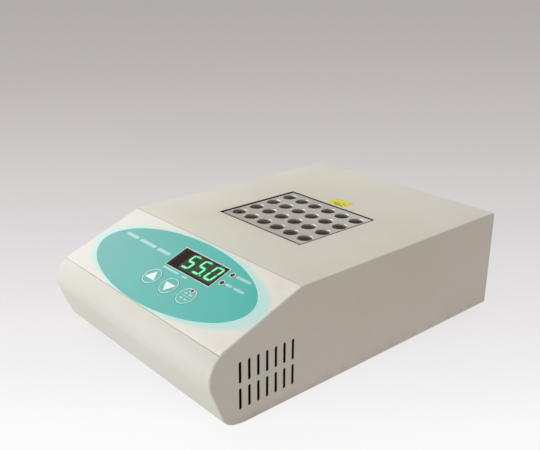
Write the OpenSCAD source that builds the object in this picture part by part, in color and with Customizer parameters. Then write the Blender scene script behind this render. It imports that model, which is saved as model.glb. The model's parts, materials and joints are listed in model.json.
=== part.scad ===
// Dry block heater: a bench-top heater with a lift-out 24-well aluminium block.
// Units are millimetres. The origin is at the centre of the bounding box's
// bottom, on the plane the rubber feet stand on. +X is to the right as seen
// from the front, +Y runs to the back and +Z is up.

/* [Body] */
// Width of the housing
body_w = 203; // [190:1:220]
// Depth of the housing, from the nose to the rear edge
body_d = 294.5; // [285:0.5:310]
// Height of the housing without its feet
body_h = 80.8; // [78:0.2:90]
// Height of the rubber feet under the housing
foot_h = 7; // [4:0.5:10]
// Wall thickness of the moulded housing
wall = 2.8; // [2.4:0.1:3.2]
// Rounding of the housing's long side edges
edge_r = 1.5; // [1.2:0.1:3]

/* [Front] */
// Slope of the control panel above the horizontal, in degrees
slope = 20.6; // [18:0.2:23]
// Radius of the rounded nose under the control panel
nose_r = 20.5; // [18:0.5:23]
// Height of the nose's centre above the housing's bottom edge
nose_z = 37.6; // [35:0.2:40]
// Lean of the face under the nose, in degrees from the vertical
undercut = 21.2; // [18:0.2:24]
// Radius of the lower front corner
toe_r = 14; // [10:0.5:16]
// Length of the printed control panel, measured up the slope
panel_l = 72.6; // [68:0.2:74]
// Thickness of the control panel's overlay
overlay_t = 0.5; // [0.4:0.1:0.8]

/* [Keys and display] */
// Radius of a key
key_r = 8.1; // [7.5:0.1:8.5]
// Gap round a key
key_gap = 0.15; // [0.1:0.05:0.25]
// Distance between the keys' centres
key_pitch = 21.45; // [20:0.05:22]
// Place of the middle key across the panel
key_x = 12.8; // [10:0.1:15]
// Place of the keys up the panel
key_v = 24; // [22:0.5:26]
// Width of the display window
window_w = 52.2; // [51:0.2:54]
// Height of the display window, up the slope
window_h = 20.4; // [19:0.2:21.4]

/* [Heating block] */
// Width of the heating block
block_w = 93.2; // [92:0.1:94]
// Depth of the heating block
block_d = 78.8; // [77:0.1:79.5]
// Height of the heating block
block_h = 50; // [46:1:52]
// Centre of the heating block behind the nose
block_y = 166.2; // [160:0.2:170]
// Wells across the block
well_nx = 6; // [4:1:6]
// Wells from front to back
well_ny = 4; // [3:1:4]
// Radius of a well
well_r = 5.95; // [5:0.05:6.2]
// Distance between wells across the block
well_px = 15.8; // [15:0.1:16]
// Distance between wells from front to back
well_py = 18.9; // [18:0.1:19.2]
// Depth of a well
well_depth = 45; // [35:1:46]
// Chamfer round a well's mouth
well_chamfer = 0.45; // [0.2:0.05:0.6]
// Gap between the block's sides and the housing's opening
block_gap = 2.1; // [1.6:0.1:2.6]
// Gap in front of the block
front_gap = 2.8; // [2:0.1:3.4]
// How far the block's top lies under the housing's top
block_sink = 0.6; // [0.2:0.1:1.5]

/* [Vents] */
// Vent slots in a row
vent_n = 7; // [4:1:7]
// Distance between vent slots
vent_pitch = 7.48; // [6:0.02:8]
// Width of a vent slot
vent_w = 2.2; // [1.4:0.1:2.8]
// Length of a vent slot
vent_l = 15.5; // [12:0.1:16.5]

/* [Rear] */
// Place of the mains inlet across the rear panel
inlet_x = -56; // [-60:1:-45]
// Place of the power switch across the rear panel
switch_x = -8; // [-14:1:0]
// Height of the inlet's and switch's centres above the housing's bottom
rear_z = 34; // [30:1:40]
// How far the power switch's rocker stands out behind the housing
rear_out = 4.2; // [3.8:0.1:5]

/* [Hidden] */
$fn = 48;
overlap = 0.01;

// colours shared by several pieces
steel = [0.75, 0.75, 0.76];
teal = [0.41, 0.75, 0.71];
board_green = [0.10, 0.38, 0.22];
wool = [0.85, 0.80, 0.62];
contact_metal = [0.83, 0.82, 0.78];
inlet_black = [0.10, 0.10, 0.10];

// radii of screws and of their holes
bolt_r = 1.6;
bolt_hole_r = 1.65;
loose_hole_r = 1.75;
nut_bore_r = 1.62;
tapping_r = 1.29;
pilot_r = 1.3;

// ---- helpers ----
// n places at the given pitch, centred on 0
function centred(n, pitch) = [for (i = [0:n - 1]) (i - (n - 1) / 2) * pitch];

// every [x, y] of the given columns and rows
function grid(xs, ys) = [for (y = ys, x = xs) [x, y]];

// points on an arc round a centre, from angle a0 to a1 in n steps
function arc_pts(centre, r, a0, a1, n) = [for (k = [0:n])
    let(a = a0 + (a1 - a0) * k / n) [centre[0] + r * cos(a), centre[1] + r * sin(a)]];

// children at each [x, y] of a list
module at(points, z = 0) for (p = points) translate([p[0], p[1], z]) children();

// children at -x and +x
module pair(x) for (side = [-1, 1]) translate([side * x, 0, 0]) children();

// box centred in x and y, standing on z = 0
module box(w, d, h) translate([-w / 2, -d / 2, 0]) cube([w, d, h]);

// cylinders lying along +x and +y
module rod_x(r, h, fn = 24) rotate([0, 90, 0]) cylinder(r = r, h = h, $fn = fn);
module rod_y(r, h, fn = 24) rotate([-90, 0, 0]) cylinder(r = r, h = h, $fn = fn);

// cutter of length h that starts 1 below z = 0
module hole(r, h, fn = 24) translate([0, 0, -1]) cylinder(r = r, h = h, $fn = fn);

// extrudes a side profile, drawn as [y, z], across the width
module across(w) translate([-w / 2, 0, 0]) rotate([90, 0, 90]) linear_extrude(w) children();

// upright slot with round ends, cut w deep along x
module slot_x(w, l, r) {
    translate([-w / 2, -r, r]) cube([w, 2 * r, l - 2 * r]);
    for (z = [r, l - r]) translate([-w / 2, 0, z]) rod_x(r, w);
}

// slot of length l along x with round ends, cut h deep along z
module slot_z(l, r, h) {
    translate([-l / 2 + r, -r, 0]) cube([l - 2 * r, 2 * r, h]);
    pair(l / 2 - r) cylinder(r = r, h = h, $fn = 24);
}

// pan-head screw with a cross recess, head underside at z = 0, shank going down
module screw(r, l, head_r, head_h) {
    difference() {
        union() {
            translate([0, 0, -l]) cylinder(r = r, h = l + overlap, $fn = 24);
            cylinder(r = head_r, h = head_h, $fn = 32);
        }
        for (a = [0, 90]) rotate([0, 0, a])
            translate([-head_r * 0.6, -0.3, head_h * 0.45]) cube([head_r * 1.2, 0.6, head_h]);
    }
}

// the same screw turned head down, and with its head to the back
module screw_up(r, l, head_r, head_h) rotate([180, 0, 0]) screw(r, l, head_r, head_h);
module screw_rear(r, l, head_r, head_h) rotate([-90, 0, 0]) screw(r, l, head_r, head_h);

module nut(r, h) difference() {
    cylinder(r = r, h = h, $fn = 6);
    hole(nut_bore_r, h + 2);
}

// wire of radius r laid through a list of points
module wire(points, r = 1.2) for (i = [0:len(points) - 2]) hull() {
    translate(points[i]) sphere(r, $fn = 14);
    translate(points[i + 1]) sphere(r, $fn = 14);
}

// ---- case ----
total_d = body_d + rear_out;
top_z = foot_h + body_h;
inner_w = body_w - 2 * wall;
slope_sin = sin(slope);
slope_cos = cos(slope);

// where the nose runs into the panel, and the crease where the panel meets the top
tangent_y = nose_r - nose_r * slope_sin;
tangent_z = nose_z + nose_r * slope_cos;
crease_y = tangent_y + (body_h - tangent_z) / tan(slope);

// where the nose meets the leaning face, where that face's line meets the
// housing's bottom, and the centre of the toe's rounding
under_y = nose_r - nose_r * cos(undercut);
under_z = nose_z - nose_r * sin(undercut);
face_foot_y = under_y + under_z * tan(undercut);
toe_y = face_foot_y + toe_r * tan((90 - undercut) / 2);

// the panel's own frame: x across, v up the slope, n outwards
crease_v = 73.04;
panel_y = crease_y - crease_v * slope_cos;
panel_z = top_z - crease_v * slope_sin;
// where the flat of the panel starts, up the slope
flat_v = (tangent_y - panel_y) / slope_cos;
// the overlay ends where the rounding of the side edges starts
overlay_w = body_w - 2 * edge_r + 0.2;

// opening for the block; it and the block sit a little left of the middle
block_x = -0.8;
opening_x = -0.6;
back_gap = 1.5;
opening_w = block_w + 2 * block_gap;
opening_d = block_d + front_gap + back_gap;
opening_y = block_y + (back_gap - front_gap) / 2;

// base plate and the rebate that takes it
base_t = 1.5;
base_top = foot_h + base_t;
rebate_y = 28;
base_y = rebate_y + 0.4;
// room left behind the base plate
base_rear_gap = 1.9;

// places of the base screws' posts and of the feet
post_x = 93;
posts = grid([-post_x, post_x], [45, 150, 286.5]);
feet = grid([-76, 76], [54, 262]);
base_vents = concat(grid([-46.8, 0, 46.8], [42, 50]), grid([-46.8, 46.8], [92, 100, 108]),
    grid([-44, 0, 44], [270, 278]));

// rear panel, its lower screws in the base plate's tabs and its upper ones in the housing
rear_t = 1.7;
tab_x = 82;
tab_screw_z = foot_h + 11;
upper_screw_z = top_z - 12;
rear_centre_z = foot_h + rear_z;
inlet_screw_x = 20;

vent_y = 24;
vent_rows = [10.7, 29.9];
foot_recess = 3;

// places on the panel, as [x, v]
window_at = [14.9, 49.25];
// the digits' module stands a little right of the window's centre
digits_at = [18.9, 49.6];
// heating lamp and set-temperature lamp
lamps = [[47.4, 56.1], [46.7, 46.8]];
// up, down and set key
keys = [for (x = centred(3, key_pitch)) [key_x + x, key_v]];
display_posts = grid([-38, 62], [20, 62]);
window_t = 0.7;
// the display board's outer face, and its thickness
board_n = -13;
board_t = 1.6;

module on_panel() translate([0, panel_y, panel_z]) rotate([slope, 0, 0]) children();

// side-profile points at depth t and place v, on the nose and on the flat
function nose_pt(v, t) = let(a = 90 + slope + (flat_v - v) / nose_r * 180 / PI)
    [nose_r + (nose_r + t) * cos(a), foot_h + nose_z + (nose_r + t) * sin(a)];
function flat_pt(v, t) =
    [panel_y + v * slope_cos - t * slope_sin, panel_z + v * slope_sin + t * slope_cos];

// strip between the depths t0 and t1, from v0 on the nose to v1 on the slope
function band(t0, t1, v0, v1) = concat(
    [for (k = [0:6]) nose_pt(v0 + (flat_v - v0) * k / 6, t1)],
    [flat_pt(v1, t1), flat_pt(v1, t0)],
    [for (k = [6:-1:0]) nose_pt(v0 + (flat_v - v0) * k / 6, t0)]);

// side profile of the housing, grown by t and lengthened by back
module profile(t = 0, back = 0) {
    y = nose_r - (nose_r + t) * slope_sin;
    z = nose_z + (nose_r + t) * slope_cos;
    polygon(concat(
        arc_pts([nose_r, foot_h + nose_z], nose_r + t, 180 + undercut, 90 + slope, 24),
        [[y + (body_h + t - z) / tan(slope), top_z + t],
         [body_d + back, top_z + t],
         [body_d + back, foot_h - t]],
        arc_pts([toe_y, foot_h + toe_r], toe_r + t, 270, 180 + undercut, 14)));
}

// outside of the housing: its long side edges are rounded, its lower edges
// and its rear edge are left crisp
module outer_body() hull() {
    for (k = [0:5])
        across(body_w - 2 * edge_r * (1 - sin(18 * k))) profile(-edge_r * (1 - cos(18 * k)));
    translate([-body_w / 2, toe_y + 4, foot_h]) cube([body_w, body_d - toe_y - 4, 1]);
}

// lamp and key holes through the panel, cut from depth n
module lamp_and_key_holes(lamp_r, n) {
    at(lamps, n) cylinder(r = lamp_r, h = 8, $fn = 32);
    at(keys, n) cylinder(r = key_r + key_gap, h = 8, $fn = 64);
}

module panel_openings() {
    inside = -wall - 3;
    // shallow tray for the overlay
    across(overlay_w + 0.3) polygon(band(-overlay_t - 0.02, 2, -0.25, panel_l + 0.4));
    on_panel() {
        // opening behind the window, and the window's seat
        at([window_at], inside) box(window_w - 4, window_h - 1, 8);
        at([window_at], -window_t - 0.02) box(window_w + 0.2, window_h + 0.2, 4);
        lamp_and_key_holes(2.0, inside);
        // pilot holes in the display board's posts
        at(display_posts, board_n - 1) cylinder(r = 0.95, h = 9, $fn = 24);
    }
}

// cut into the housing's bottom, inset from the inner side faces
module bottom_cut(inset, y, d, h)
    translate([-inner_w / 2 + inset, y, foot_h - 1]) cube([inner_w - 2 * inset, d, h]);

module top_housing() color([0.86, 0.84, 0.79]) difference() {
    union() {
        difference() {
            outer_body();
            across(inner_w) profile(-wall, 5);
        }
        // posts for the base screws
        intersection() {
            at(posts, foot_h + 1) cylinder(r = 4.2, h = body_h - 2, $fn = 32);
            across(body_w - 2) profile(-1);
        }
        // posts for the display board
        on_panel() at(display_posts, board_n) cylinder(r = 3, h = -board_n - wall + 0.5, $fn = 32);
    }
    // opening for the block
    translate([opening_x, opening_y, top_z - 10]) box(opening_w, opening_d, 20);
    panel_openings();
    // side vents, two rows on each side
    for (i = [0:vent_n - 1], z = vent_rows)
        translate([0, vent_y + i * vent_pitch, foot_h + z]) slot_x(body_w + 4, vent_l, vent_w / 2);
    // bottom opening, base plate's rebate and room for the rear panel
    bottom_cut(9, 38, body_d, wall + 3);
    bottom_cut(0, rebate_y, body_d, 1 + base_t + 0.1);
    bottom_cut(0, body_d - base_rear_gap, 5, wall + 3);
    // pilot holes for the base screws and the rear panel's upper screws
    at(posts, foot_h) hole(pilot_r, 15);
    pair(post_x) translate([0, body_d - 12, upper_screw_z]) rod_y(pilot_r, 12);
}

module base_plate() color([0.62, 0.63, 0.64]) difference() {
    union() {
        translate([-inner_w / 2 + 0.3, base_y, foot_h])
            cube([inner_w - 0.6, body_d - base_y - base_rear_gap, base_t]);
        // upturned tabs that carry the rear panel
        pair(tab_x) translate([-7, body_d - 3.3, base_top - overlap]) cube([14, 1.4, 16]);
    }
    at(posts, foot_h) hole(1.7, 4);
    at(feet, foot_h) hole(1.9, 4);
    at(base_vents, foot_h - 1) slot_z(30, 1.5, 4);
    // screw holes in the tabs
    pair(tab_x) translate([0, body_d - 6, tab_screw_z]) rod_y(pilot_r, 6);
}

module rear_panel() color([0.75, 0.74, 0.71]) difference() {
    cut_y = body_d - 5;
    translate([-inner_w / 2 + 0.2, body_d - rear_t, base_top + 0.2])
        cube([inner_w - 0.4, rear_t, body_h - base_t - wall - 0.4]);
    // mains inlet and switch cut-outs
    translate([inlet_x, cut_y, rear_centre_z - 15.6]) box(28, 20, 31.2);
    translate([switch_x, cut_y, rear_centre_z - 10.8]) box(13.4, 20, 21.6);
    // screw holes
    translate([inlet_x, cut_y, rear_centre_z]) pair(inlet_screw_x) rod_y(bolt_hole_r, 10);
    pair(tab_x) translate([0, cut_y, tab_screw_z]) rod_y(bolt_hole_r, 10);
    pair(post_x) translate([0, cut_y, upper_screw_z]) rod_y(bolt_hole_r, 10);
    // cooling slots
    for (i = [0:8])
        translate([38 + i * 6, cut_y, foot_h + 30]) rotate([0, 0, 90]) slot_x(12, 26, 1.1);
}

// half section of a foot, as [radius, z]
foot_section = [[2.2, foot_h - foot_recess], [2.2, foot_h], [9.5, foot_h], [8.6, 0.6],
    [8.0, 0], [4.2, 0], [4.2, foot_h - foot_recess]];
module rubber_feet() color([0.12, 0.12, 0.12]) at(feet)
    rotate_extrude($fn = 64) polygon(foot_section);

module foot_screws() color(steel) at(feet, foot_h - foot_recess) {
    screw_up(bolt_r, 8, 3.6, 1.8);
    // nut on the plate
    translate([0, 0, foot_recess + base_t]) nut(3.3, 2.2);
}

module base_screws() color(steel) at(posts, foot_h) screw_up(tapping_r, 10, 2.9, 1.6);

module rear_panel_screws() color(steel) translate([0, body_d, 0]) {
    pair(tab_x) translate([0, 0, tab_screw_z]) screw_rear(tapping_r, 6, 2.9, 1.5);
    pair(post_x) translate([0, 0, upper_screw_z]) screw_rear(tapping_r, 9, 2.9, 1.5);
}

// label on the housing's top, behind the block
module hot_surface_label() color([0.93, 0.85, 0.10])
    translate([0.5, block_y + 49.5, top_z]) box(19.5, 14, 0.15);

rating_w = 52;
rating_h = 13;
module rating_plate() color([0.80, 0.80, 0.79])
    translate([58 - rating_w / 2, body_d, foot_h + 64 - rating_h / 2])
        cube([rating_w, 0.3, rating_h]);

// ---- control panel ----
// place of the set key's lens above the key's centre
lens_v = 5.7;
// the digits' pins, the lamps' leads and how far both reach behind the board's face
digit_pins = grid(centred(7, 5.08), [-7.6, 7.6]);
lamp_leads = grid([-0.9, 0.9], [0]);
lead_w = 0.5;
lead_hole_w = 0.7;
lead_out = 2.4;

module keypad_overlay() color(teal) difference() {
    across(overlay_w) polygon(band(-overlay_t, 0, 0, panel_l));
    on_panel() {
        at([window_at], -4) box(window_w + 0.2, window_h + 0.2, 8);
        lamp_and_key_holes(1.85, -4);
    }
}

module display_window() color([0.22, 0.19, 0.17])
    on_panel() at([window_at], -window_t) box(window_w, window_h, window_t);

// round key: retaining flange, body, chamfered cap and plunger
module key_shape() {
    flange_n = -wall - 0.9;
    cap_n = -0.26;
    translate([0, 0, flange_n]) cylinder(r = key_r + 1.1, h = 0.8, $fn = 64);
    translate([0, 0, flange_n]) cylinder(r = key_r, h = -flange_n - 0.25, $fn = 64);
    translate([0, 0, cap_n]) rotate_extrude($fn = 64)
        polygon([[0, 0], [key_r, 0], [key_r, 0.16], [key_r - 0.3, 0.41], [0, 0.41]]);
    translate([0, 0, board_n + 5]) cylinder(r = 1.8, h = -board_n - 5 - wall, $fn = 32);
}

module up_key() color(teal) on_panel() at([keys[0]]) key_shape();

module down_key() color(teal) on_panel() at([keys[1]]) key_shape();

module set_key() color(teal) on_panel() at([keys[2]]) difference() {
    key_shape();
    translate([0, lens_v, -8]) cylinder(r = 1.3, h = 12, $fn = 32);
}

module set_key_lens() color([0.85, 0.15, 0.45]) on_panel() at([keys[2]])
    translate([0, lens_v, -3.7]) cylinder(r = 1.29, h = 3.95, $fn = 32);

// lamp: body, rim and two leads
module lamp() {
    translate([0, 0, -6.5]) cylinder(r = 1.7, h = 6.6, $fn = 32);
    translate([0, 0, -7.3]) cylinder(r = 1.95, h = 1, $fn = 32);
    at(lamp_leads, board_n - lead_out) box(lead_w, lead_w, 8.6);
}

module heating_led() color([0.85, 0.10, 0.12]) on_panel() at([lamps[0]]) lamp();

module set_temp_led() color([0.25, 0.25, 0.27]) on_panel() at([lamps[1]]) lamp();

module digit_display() color([0.10, 0.30, 0.12]) on_panel() at([digits_at]) difference() {
    union() {
        translate([0, 0, board_n + 0.02]) box(38.4, 16.9, -board_n - window_t - 0.07);
        at(digit_pins, board_n - lead_out) box(lead_w, lead_w, 3);
    }
    // shallow wells for the three digits' segments
    at(grid(centred(3, 12.8), [0.3]), -window_t - 0.3) box(12, 15.4, 1);
}

module display_board() color(board_green) on_panel() difference() {
    cut_n = board_n - 3;
    translate([12, 41, board_n - board_t]) box(110, 52, board_t);
    at(display_posts, cut_n) cylinder(r = 1.25, h = 6, $fn = 24);
    at([digits_at]) at(digit_pins, cut_n) box(lead_hole_w, lead_hole_w, 6);
    at(lamps) at(lamp_leads, cut_n) box(lead_hole_w, lead_hole_w, 6);
}

module tact_switches() color([0.15, 0.15, 0.16]) on_panel() at(keys, board_n) {
    box(6, 6, 3.5);
    cylinder(r = 1.6, h = 4.4, $fn = 32);
}

module display_board_screws() color(steel) on_panel()
    at(display_posts, board_n - board_t) screw_up(0.94, 6, 2.1, 1.2);

// ---- heating assembly ----
// from the top: block, base, heater plate, mat and clamp plate
block_top = top_z - block_sink;
block_bottom = block_top - block_h;
plate_bottom = block_bottom - 7;
mat_bottom = plate_bottom - 1.6;
clamp_bottom = mat_bottom - 1.5;
wells = grid(centred(well_nx, well_px), centred(well_ny, well_py));
clamp_points = grid([-36, 36], [-30, 30]);
standoff_points = grid([-22.32, 22.32], [-30, 30]);
standoff_h = plate_bottom - 3.12 - base_top;
// hole in the mat and the clamp plate for the thermal cutout
cutout_hole_r = 9;
// the sensor's place right of the block's centre and above the plate's underside
sensor_x = 10;
sensor_z = 3.4;
liner_w = opening_w + 2.0;
liner_d = opening_d + 2.0;

module at_block(z) translate([block_x, block_y, z]) children();

// the wells are drilled through the block, and a plate brazed under it is their floor
module heating_block() color([0.74, 0.73, 0.71]) at_block(block_top - well_depth) difference() {
    box(block_w, block_d, well_depth);
    at(wells) {
        hole(well_r, well_depth + 2, 64);
        translate([0, 0, well_depth - well_chamfer])
            cylinder(r1 = well_r, r2 = well_r + well_chamfer * 1.5, h = well_chamfer * 1.5, $fn = 64);
    }
}

module block_base() color([0.72, 0.72, 0.71]) at_block(block_bottom)
    box(block_w, block_d, block_h - well_depth);

module heater_plate() color([0.70, 0.70, 0.71]) at_block(plate_bottom) difference() {
    box(block_w, block_d, 6.95);
    at(clamp_points) hole(bolt_hole_r, 5);
    // pocket for the sensor
    translate([sensor_x, -block_d / 2 - 1, sensor_z]) rod_y(2.05, 31, 32);
}

module heater_mat() color([0.80, 0.38, 0.16]) at_block(mat_bottom) difference() {
    box(block_w - 3, block_d - 3, 1.58);
    at(clamp_points) hole(2.4, 5);
    hole(cutout_hole_r, 5, 48);
}

module clamp_plate() color([0.66, 0.67, 0.69]) at_block(clamp_bottom) difference() {
    box(block_w, block_d, 1.48);
    at(clamp_points) hole(loose_hole_r, 5);
    at(standoff_points) hole(loose_hole_r, 5);
    hole(cutout_hole_r, 5, 48);
}

module clamp_screws() color(steel) at_block(clamp_bottom - 0.05)
    at(clamp_points) screw_up(bolt_r, 6.5, 3, 1.7);

// pillars that hold the heater off the base plate, with their screws' threads as plain ends
module plate_standoffs() color([0.78, 0.76, 0.70]) at_block(base_top + 0.02)
    at(standoff_points) {
        cylinder(r = 3.5, h = standoff_h, $fn = 32);
        cylinder(r = 1.7, h = standoff_h + 1.4, $fn = 24);
    }

// probe in the heater plate, with a thinner tail to the front
module temperature_sensor() color([0.80, 0.80, 0.82]) at_block(plate_bottom)
    translate([sensor_x, -block_d / 2, sensor_z]) {
        translate([0, -3, 0]) rod_y(2, 32, 32);
        translate([0, -7, 0]) rod_y(1.4, 5, 32);
    }

// disc under the heater plate, narrower body below it and two terminals
module thermal_cutout() color([0.16, 0.15, 0.15]) at_block(plate_bottom) {
    translate([0, 0, -4.2]) cylinder(r = 8.3, h = 4.18, $fn = 48);
    translate([0, 0, -13]) cylinder(r = 6.5, h = 9, $fn = 48);
    pair(4) translate([0, 0, -16]) box(0.8, 5, 4);
}

// sleeve round the block, with a flange under the housing's top
module well_liner() color([0.30, 0.30, 0.31]) translate([opening_x, opening_y, 0]) difference() {
    liner_bottom = block_bottom - 1.2;
    union() {
        translate([0, 0, liner_bottom])
            box(liner_w, liner_d, top_z - wall - 0.05 - liner_bottom);
        translate([0, 0, top_z - wall - 1.05]) box(liner_w + 9, liner_d + 9, 1);
    }
    box(opening_w + 0.4, opening_d + 0.4, 200);
}

module insulation_jacket() color(wool) translate([opening_x, opening_y, plate_bottom - 1])
    difference() {
        box(liner_w + 21, liner_d + 21, top_z - wall - 1.6 - plate_bottom + 1);
        translate([0, 0, -1]) box(liner_w + 0.6, liner_d + 0.6, 200);
        // notch for the sensor and the heater leads
        translate([sensor_x, -60, -1]) box(22, 40, 9);
    }

module insulation_pad() color(wool) at_block(base_top + 0.3) difference() {
    box(liner_w + 18, liner_d + 18, plate_bottom - 5.6 - base_top);
    at(standoff_points) hole(4.2, 60);
    hole(12, 60, 48);
}

// ---- mains inlet and switch ----
// place of the outer contacts, and of the fuses from the inlet's centre
contact_x = 7;
fuse_x = 5.6;
fuse_z = -8.9;
// the rocker turns about a pin across the switch
pin_depth = 2.5;
// radius of the rocker's ends about the pin and half the angle its face spans
rocker_r = 9.2;
rocker_tilt = 10;
rocker_a = acos((rear_out + pin_depth) / rocker_r) + rocker_tilt;

// y = 0 is the rear panel's outer face
module at_inlet() translate([inlet_x, body_d, rear_centre_z]) children();
module at_switch() translate([switch_x, body_d, rear_centre_z]) children();

module power_inlet() color(inlet_black) at_inlet() difference() {
    union() {
        translate([0, 1.1, -15.5]) box(50, 2.2, 31);
        translate([0, -12.5, -15.4]) box(27.6, 25.2, 30.8);
    }
    // recess for the plug
    translate([0, -4, -3.6]) box(24.4, 24, 16.6);
    pair(inlet_screw_x) translate([0, -2, 0]) rod_y(bolt_hole_r, 6);
    // slots that hold the contacts
    translate([0, -25, 6.1]) box(2.1, 30, 4.1);
    pair(contact_x) translate([0, -25, 0.7]) box(2.1, 30, 4.1);
    // bay for the fuse drawer
    translate([0, -8, -12.6]) box(22.4, 30, 7.4);
}

module inlet_pins() color(contact_metal) at_inlet() {
    translate([0, -15.5, 6.15]) box(2, 30, 4);
    pair(contact_x) translate([0, -16.5, 0.75]) box(2, 28, 4);
}

module inlet_screws() color(steel) at_inlet() pair(inlet_screw_x) {
    translate([0, 2.2, 0]) screw_rear(bolt_r, 8, 2.8, 1.4);
    translate([0, -3.7, 0]) rotate([-90, 0, 0]) nut(3.1, 2);
}

module fuse_drawer() color([0.14, 0.14, 0.14]) at_inlet() difference() {
    cradle_l = 20.6;
    union() {
        translate([0, -9.7, -12.45]) box(22, 24.6, 7.1);
        translate([0, 2.9, -13]) box(23.6, 1.2, 8.2);
    }
    // cradles for the two fuses
    pair(fuse_x) translate([0, -cradle_l, fuse_z]) rod_y(2.65, cradle_l, 32);
    pair(fuse_x) translate([0, -cradle_l / 2, fuse_z]) box(5.3, cradle_l, 8);
    // finger notch
    translate([0, 3.2, -10.3]) box(10, 1, 2.2);
}

// glass tubes with an end cap at each end
module fuses() color([0.85, 0.85, 0.84]) at_inlet() pair(fuse_x) translate([0, -20.4, fuse_z]) {
    rod_y(2.35, 20, 32);
    for (y = [0, 15]) translate([0, y, 0]) rod_y(2.6, 5, 32);
}

module switch_frame() color(inlet_black) at_switch() difference() {
    union() {
        translate([0, 0.9, -12.5]) box(15.4, 1.8, 25);
        translate([0, -10, -10.6]) box(13, 20.1, 21.2);
    }
    // bay for the rocker
    translate([0, -3.6, -9.4]) box(10, 11, 18.8);
    // bearing holes for the rocker's pin
    translate([-5.9, -pin_depth, 0]) rod_x(1.25, 11.8, 32);
}

// shown switched on: the upper end is pressed in
module power_rocker() color([0.08, 0.08, 0.08]) at_switch() translate([0, -pin_depth, 0]) {
    rotate([rocker_tilt, 0, 0]) difference() {
        // the ends are arcs about the pin, so that they clear the frame
        across(9.6) polygon(concat(
            arc_pts([0, 0], rocker_r, -84, -rocker_a, 5),
            arc_pts([0, 0], rocker_r, rocker_a, 84, 5),
            [[-2.8, 4.6], [-2.8, -4.6]]));
        // finger ribs' grooves
        for (z = [-6.3, -4.9])
            translate([-6, rocker_r * cos(rocker_a) - 0.4, z]) cube([12, 3, 0.7]);
    }
    translate([-5.7, 0, 0]) rod_x(1.2, 11.4, 32);
}

module switch_terminals() color(contact_metal) at_switch()
    for (x = [-3.4, 3.4], z = [-7, 0]) translate([x, -24.55, z - 2.4]) box(0.8, 9, 4.8);

// ---- electronics ----
// centre of the control board's underside
board_at = [-45, 73, base_top + 8];
board_holes = grid([-37, 37], [-27, 27]);
// the rear socket and the front one, which takes the ribbon cable, from the board's centre
rear_socket = [20, 20];
ribbon_socket = [2, -24];
// parts on the base plate stand a hair above it
part_z = base_top + 0.02;
core_at = [50, 80];
strap_screw_x = 30;
strap_t = 1.5;
heatsink_at = [57.3, 248];
heatsink_screw_x = 25.5;
terminal_at = [-56, 232];
terminal_places = centred(5, 10);
// where the wires enter the terminal block
terminal_wire_y = 240.6;

// children on the control board's top face, at [x, y] from its centre
module on_board(p) translate(board_at + [p[0], p[1], board_t + 0.01]) children();

module control_board() color(board_green) translate(board_at) difference() {
    box(82, 62, board_t);
    at(board_holes) hole(bolt_hole_r, 4);
}

module board_standoffs() color([0.80, 0.72, 0.42])
    translate([board_at[0], board_at[1], base_top + 0.01]) at(board_holes) difference() {
        cylinder(r = 3, h = 7.98, $fn = 6);
        translate([0, 0, 2]) cylinder(r = 1.5, h = 8, $fn = 24);
    }

module board_screws() color(steel) translate(board_at)
    at(board_holes, board_t) screw(1.48, 6, 2.8, 1.5);

module filter_capacitor() color([0.85, 0.72, 0.20]) on_board([-24, 12]) box(18, 8, 14);

module control_chip() color([0.10, 0.10, 0.11]) on_board([8, -8]) {
    translate([0, 0, 0.6]) box(22, 7, 3.2);
    at(grid(centred(9, 2.4), [-4, 4])) box(0.5, 1.2, 2);
}

// open-topped socket with 1.2 walls and a floor 2 thick
module socket(w, d, h) difference() {
    box(w, d, h);
    translate([0, 0, 2]) box(w - 2.4, d - 2.4, 9);
}

module board_connectors() color([0.88, 0.87, 0.83]) {
    on_board(rear_socket) socket(22, 8, 9);
    on_board(ribbon_socket) socket(26, 6.4, 8);
}

// core with a window each side of its middle limb
module transformer_core() color([0.42, 0.40, 0.38]) at([core_at], part_z) difference() {
    box(44, 26, 36);
    pair(10.95) translate([0, 0, 7]) box(7.5, 40, 22);
}

// winding between two bobbin flanges, open for the middle limb
module transformer_coil() color([0.72, 0.40, 0.20]) at([core_at], base_top + 7.2) difference() {
    union() {
        box(28.8, 40, 1.6);
        translate([0, 0, 1.5]) box(27.4, 38.6, 18.6);
        translate([0, 0, 20]) box(28.8, 40, 1.6);
    }
    translate([0, 0, -1]) box(14.5, 26.2, 40);
}

// strap over the core, with a foot on each side
module transformer_strap() color([0.70, 0.71, 0.72]) at([core_at], part_z) difference() {
    union() {
        box(47, 12, 37.6);
        box(70, 12, strap_t);
    }
    translate([0, 0, -1]) box(44.2, 30, 37.1);
    pair(strap_screw_x) hole(loose_hole_r, 4);
}

module strap_screws() color(steel) at([core_at], base_top + strap_t + 0.03)
    pair(strap_screw_x) screw(bolt_r, 1.45, 3, 1.7);

// web with nine upright fins and a screw lug on each side
module triac_heatsink() color([0.25, 0.25, 0.26]) at([heatsink_at], part_z) difference() {
    union() {
        translate([0, 8, 0]) box(44, 4, 32);
        at(grid(centred(9, 5.2), [0])) box(1.4, 18, 32);
        pair(24.5) translate([0, 7.6, 0]) box(9, 6.4, 2);
    }
    pair(heatsink_screw_x) translate([0, 8, 0]) hole(loose_hole_r, 4);
}

module heatsink_screws() color(steel) at([heatsink_at], part_z + 2.02)
    pair(heatsink_screw_x) translate([0, 8, 0]) screw(bolt_r, 1.9, 2.6, 1.7);

// tab against the heatsink's rear, body behind it and three legs
module triac() color([0.12, 0.12, 0.13]) at([heatsink_at], base_top + 10)
    translate([0, 10.05, 0]) {
        translate([0, 0.65, 0]) box(10, 1.3, 16);
        translate([0, 2.2, 0]) box(10, 4.4, 9.6);
        at(grid(centred(3, 2.5), [2.2]), -7) box(0.8, 0.6, 7.1);
    }

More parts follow.
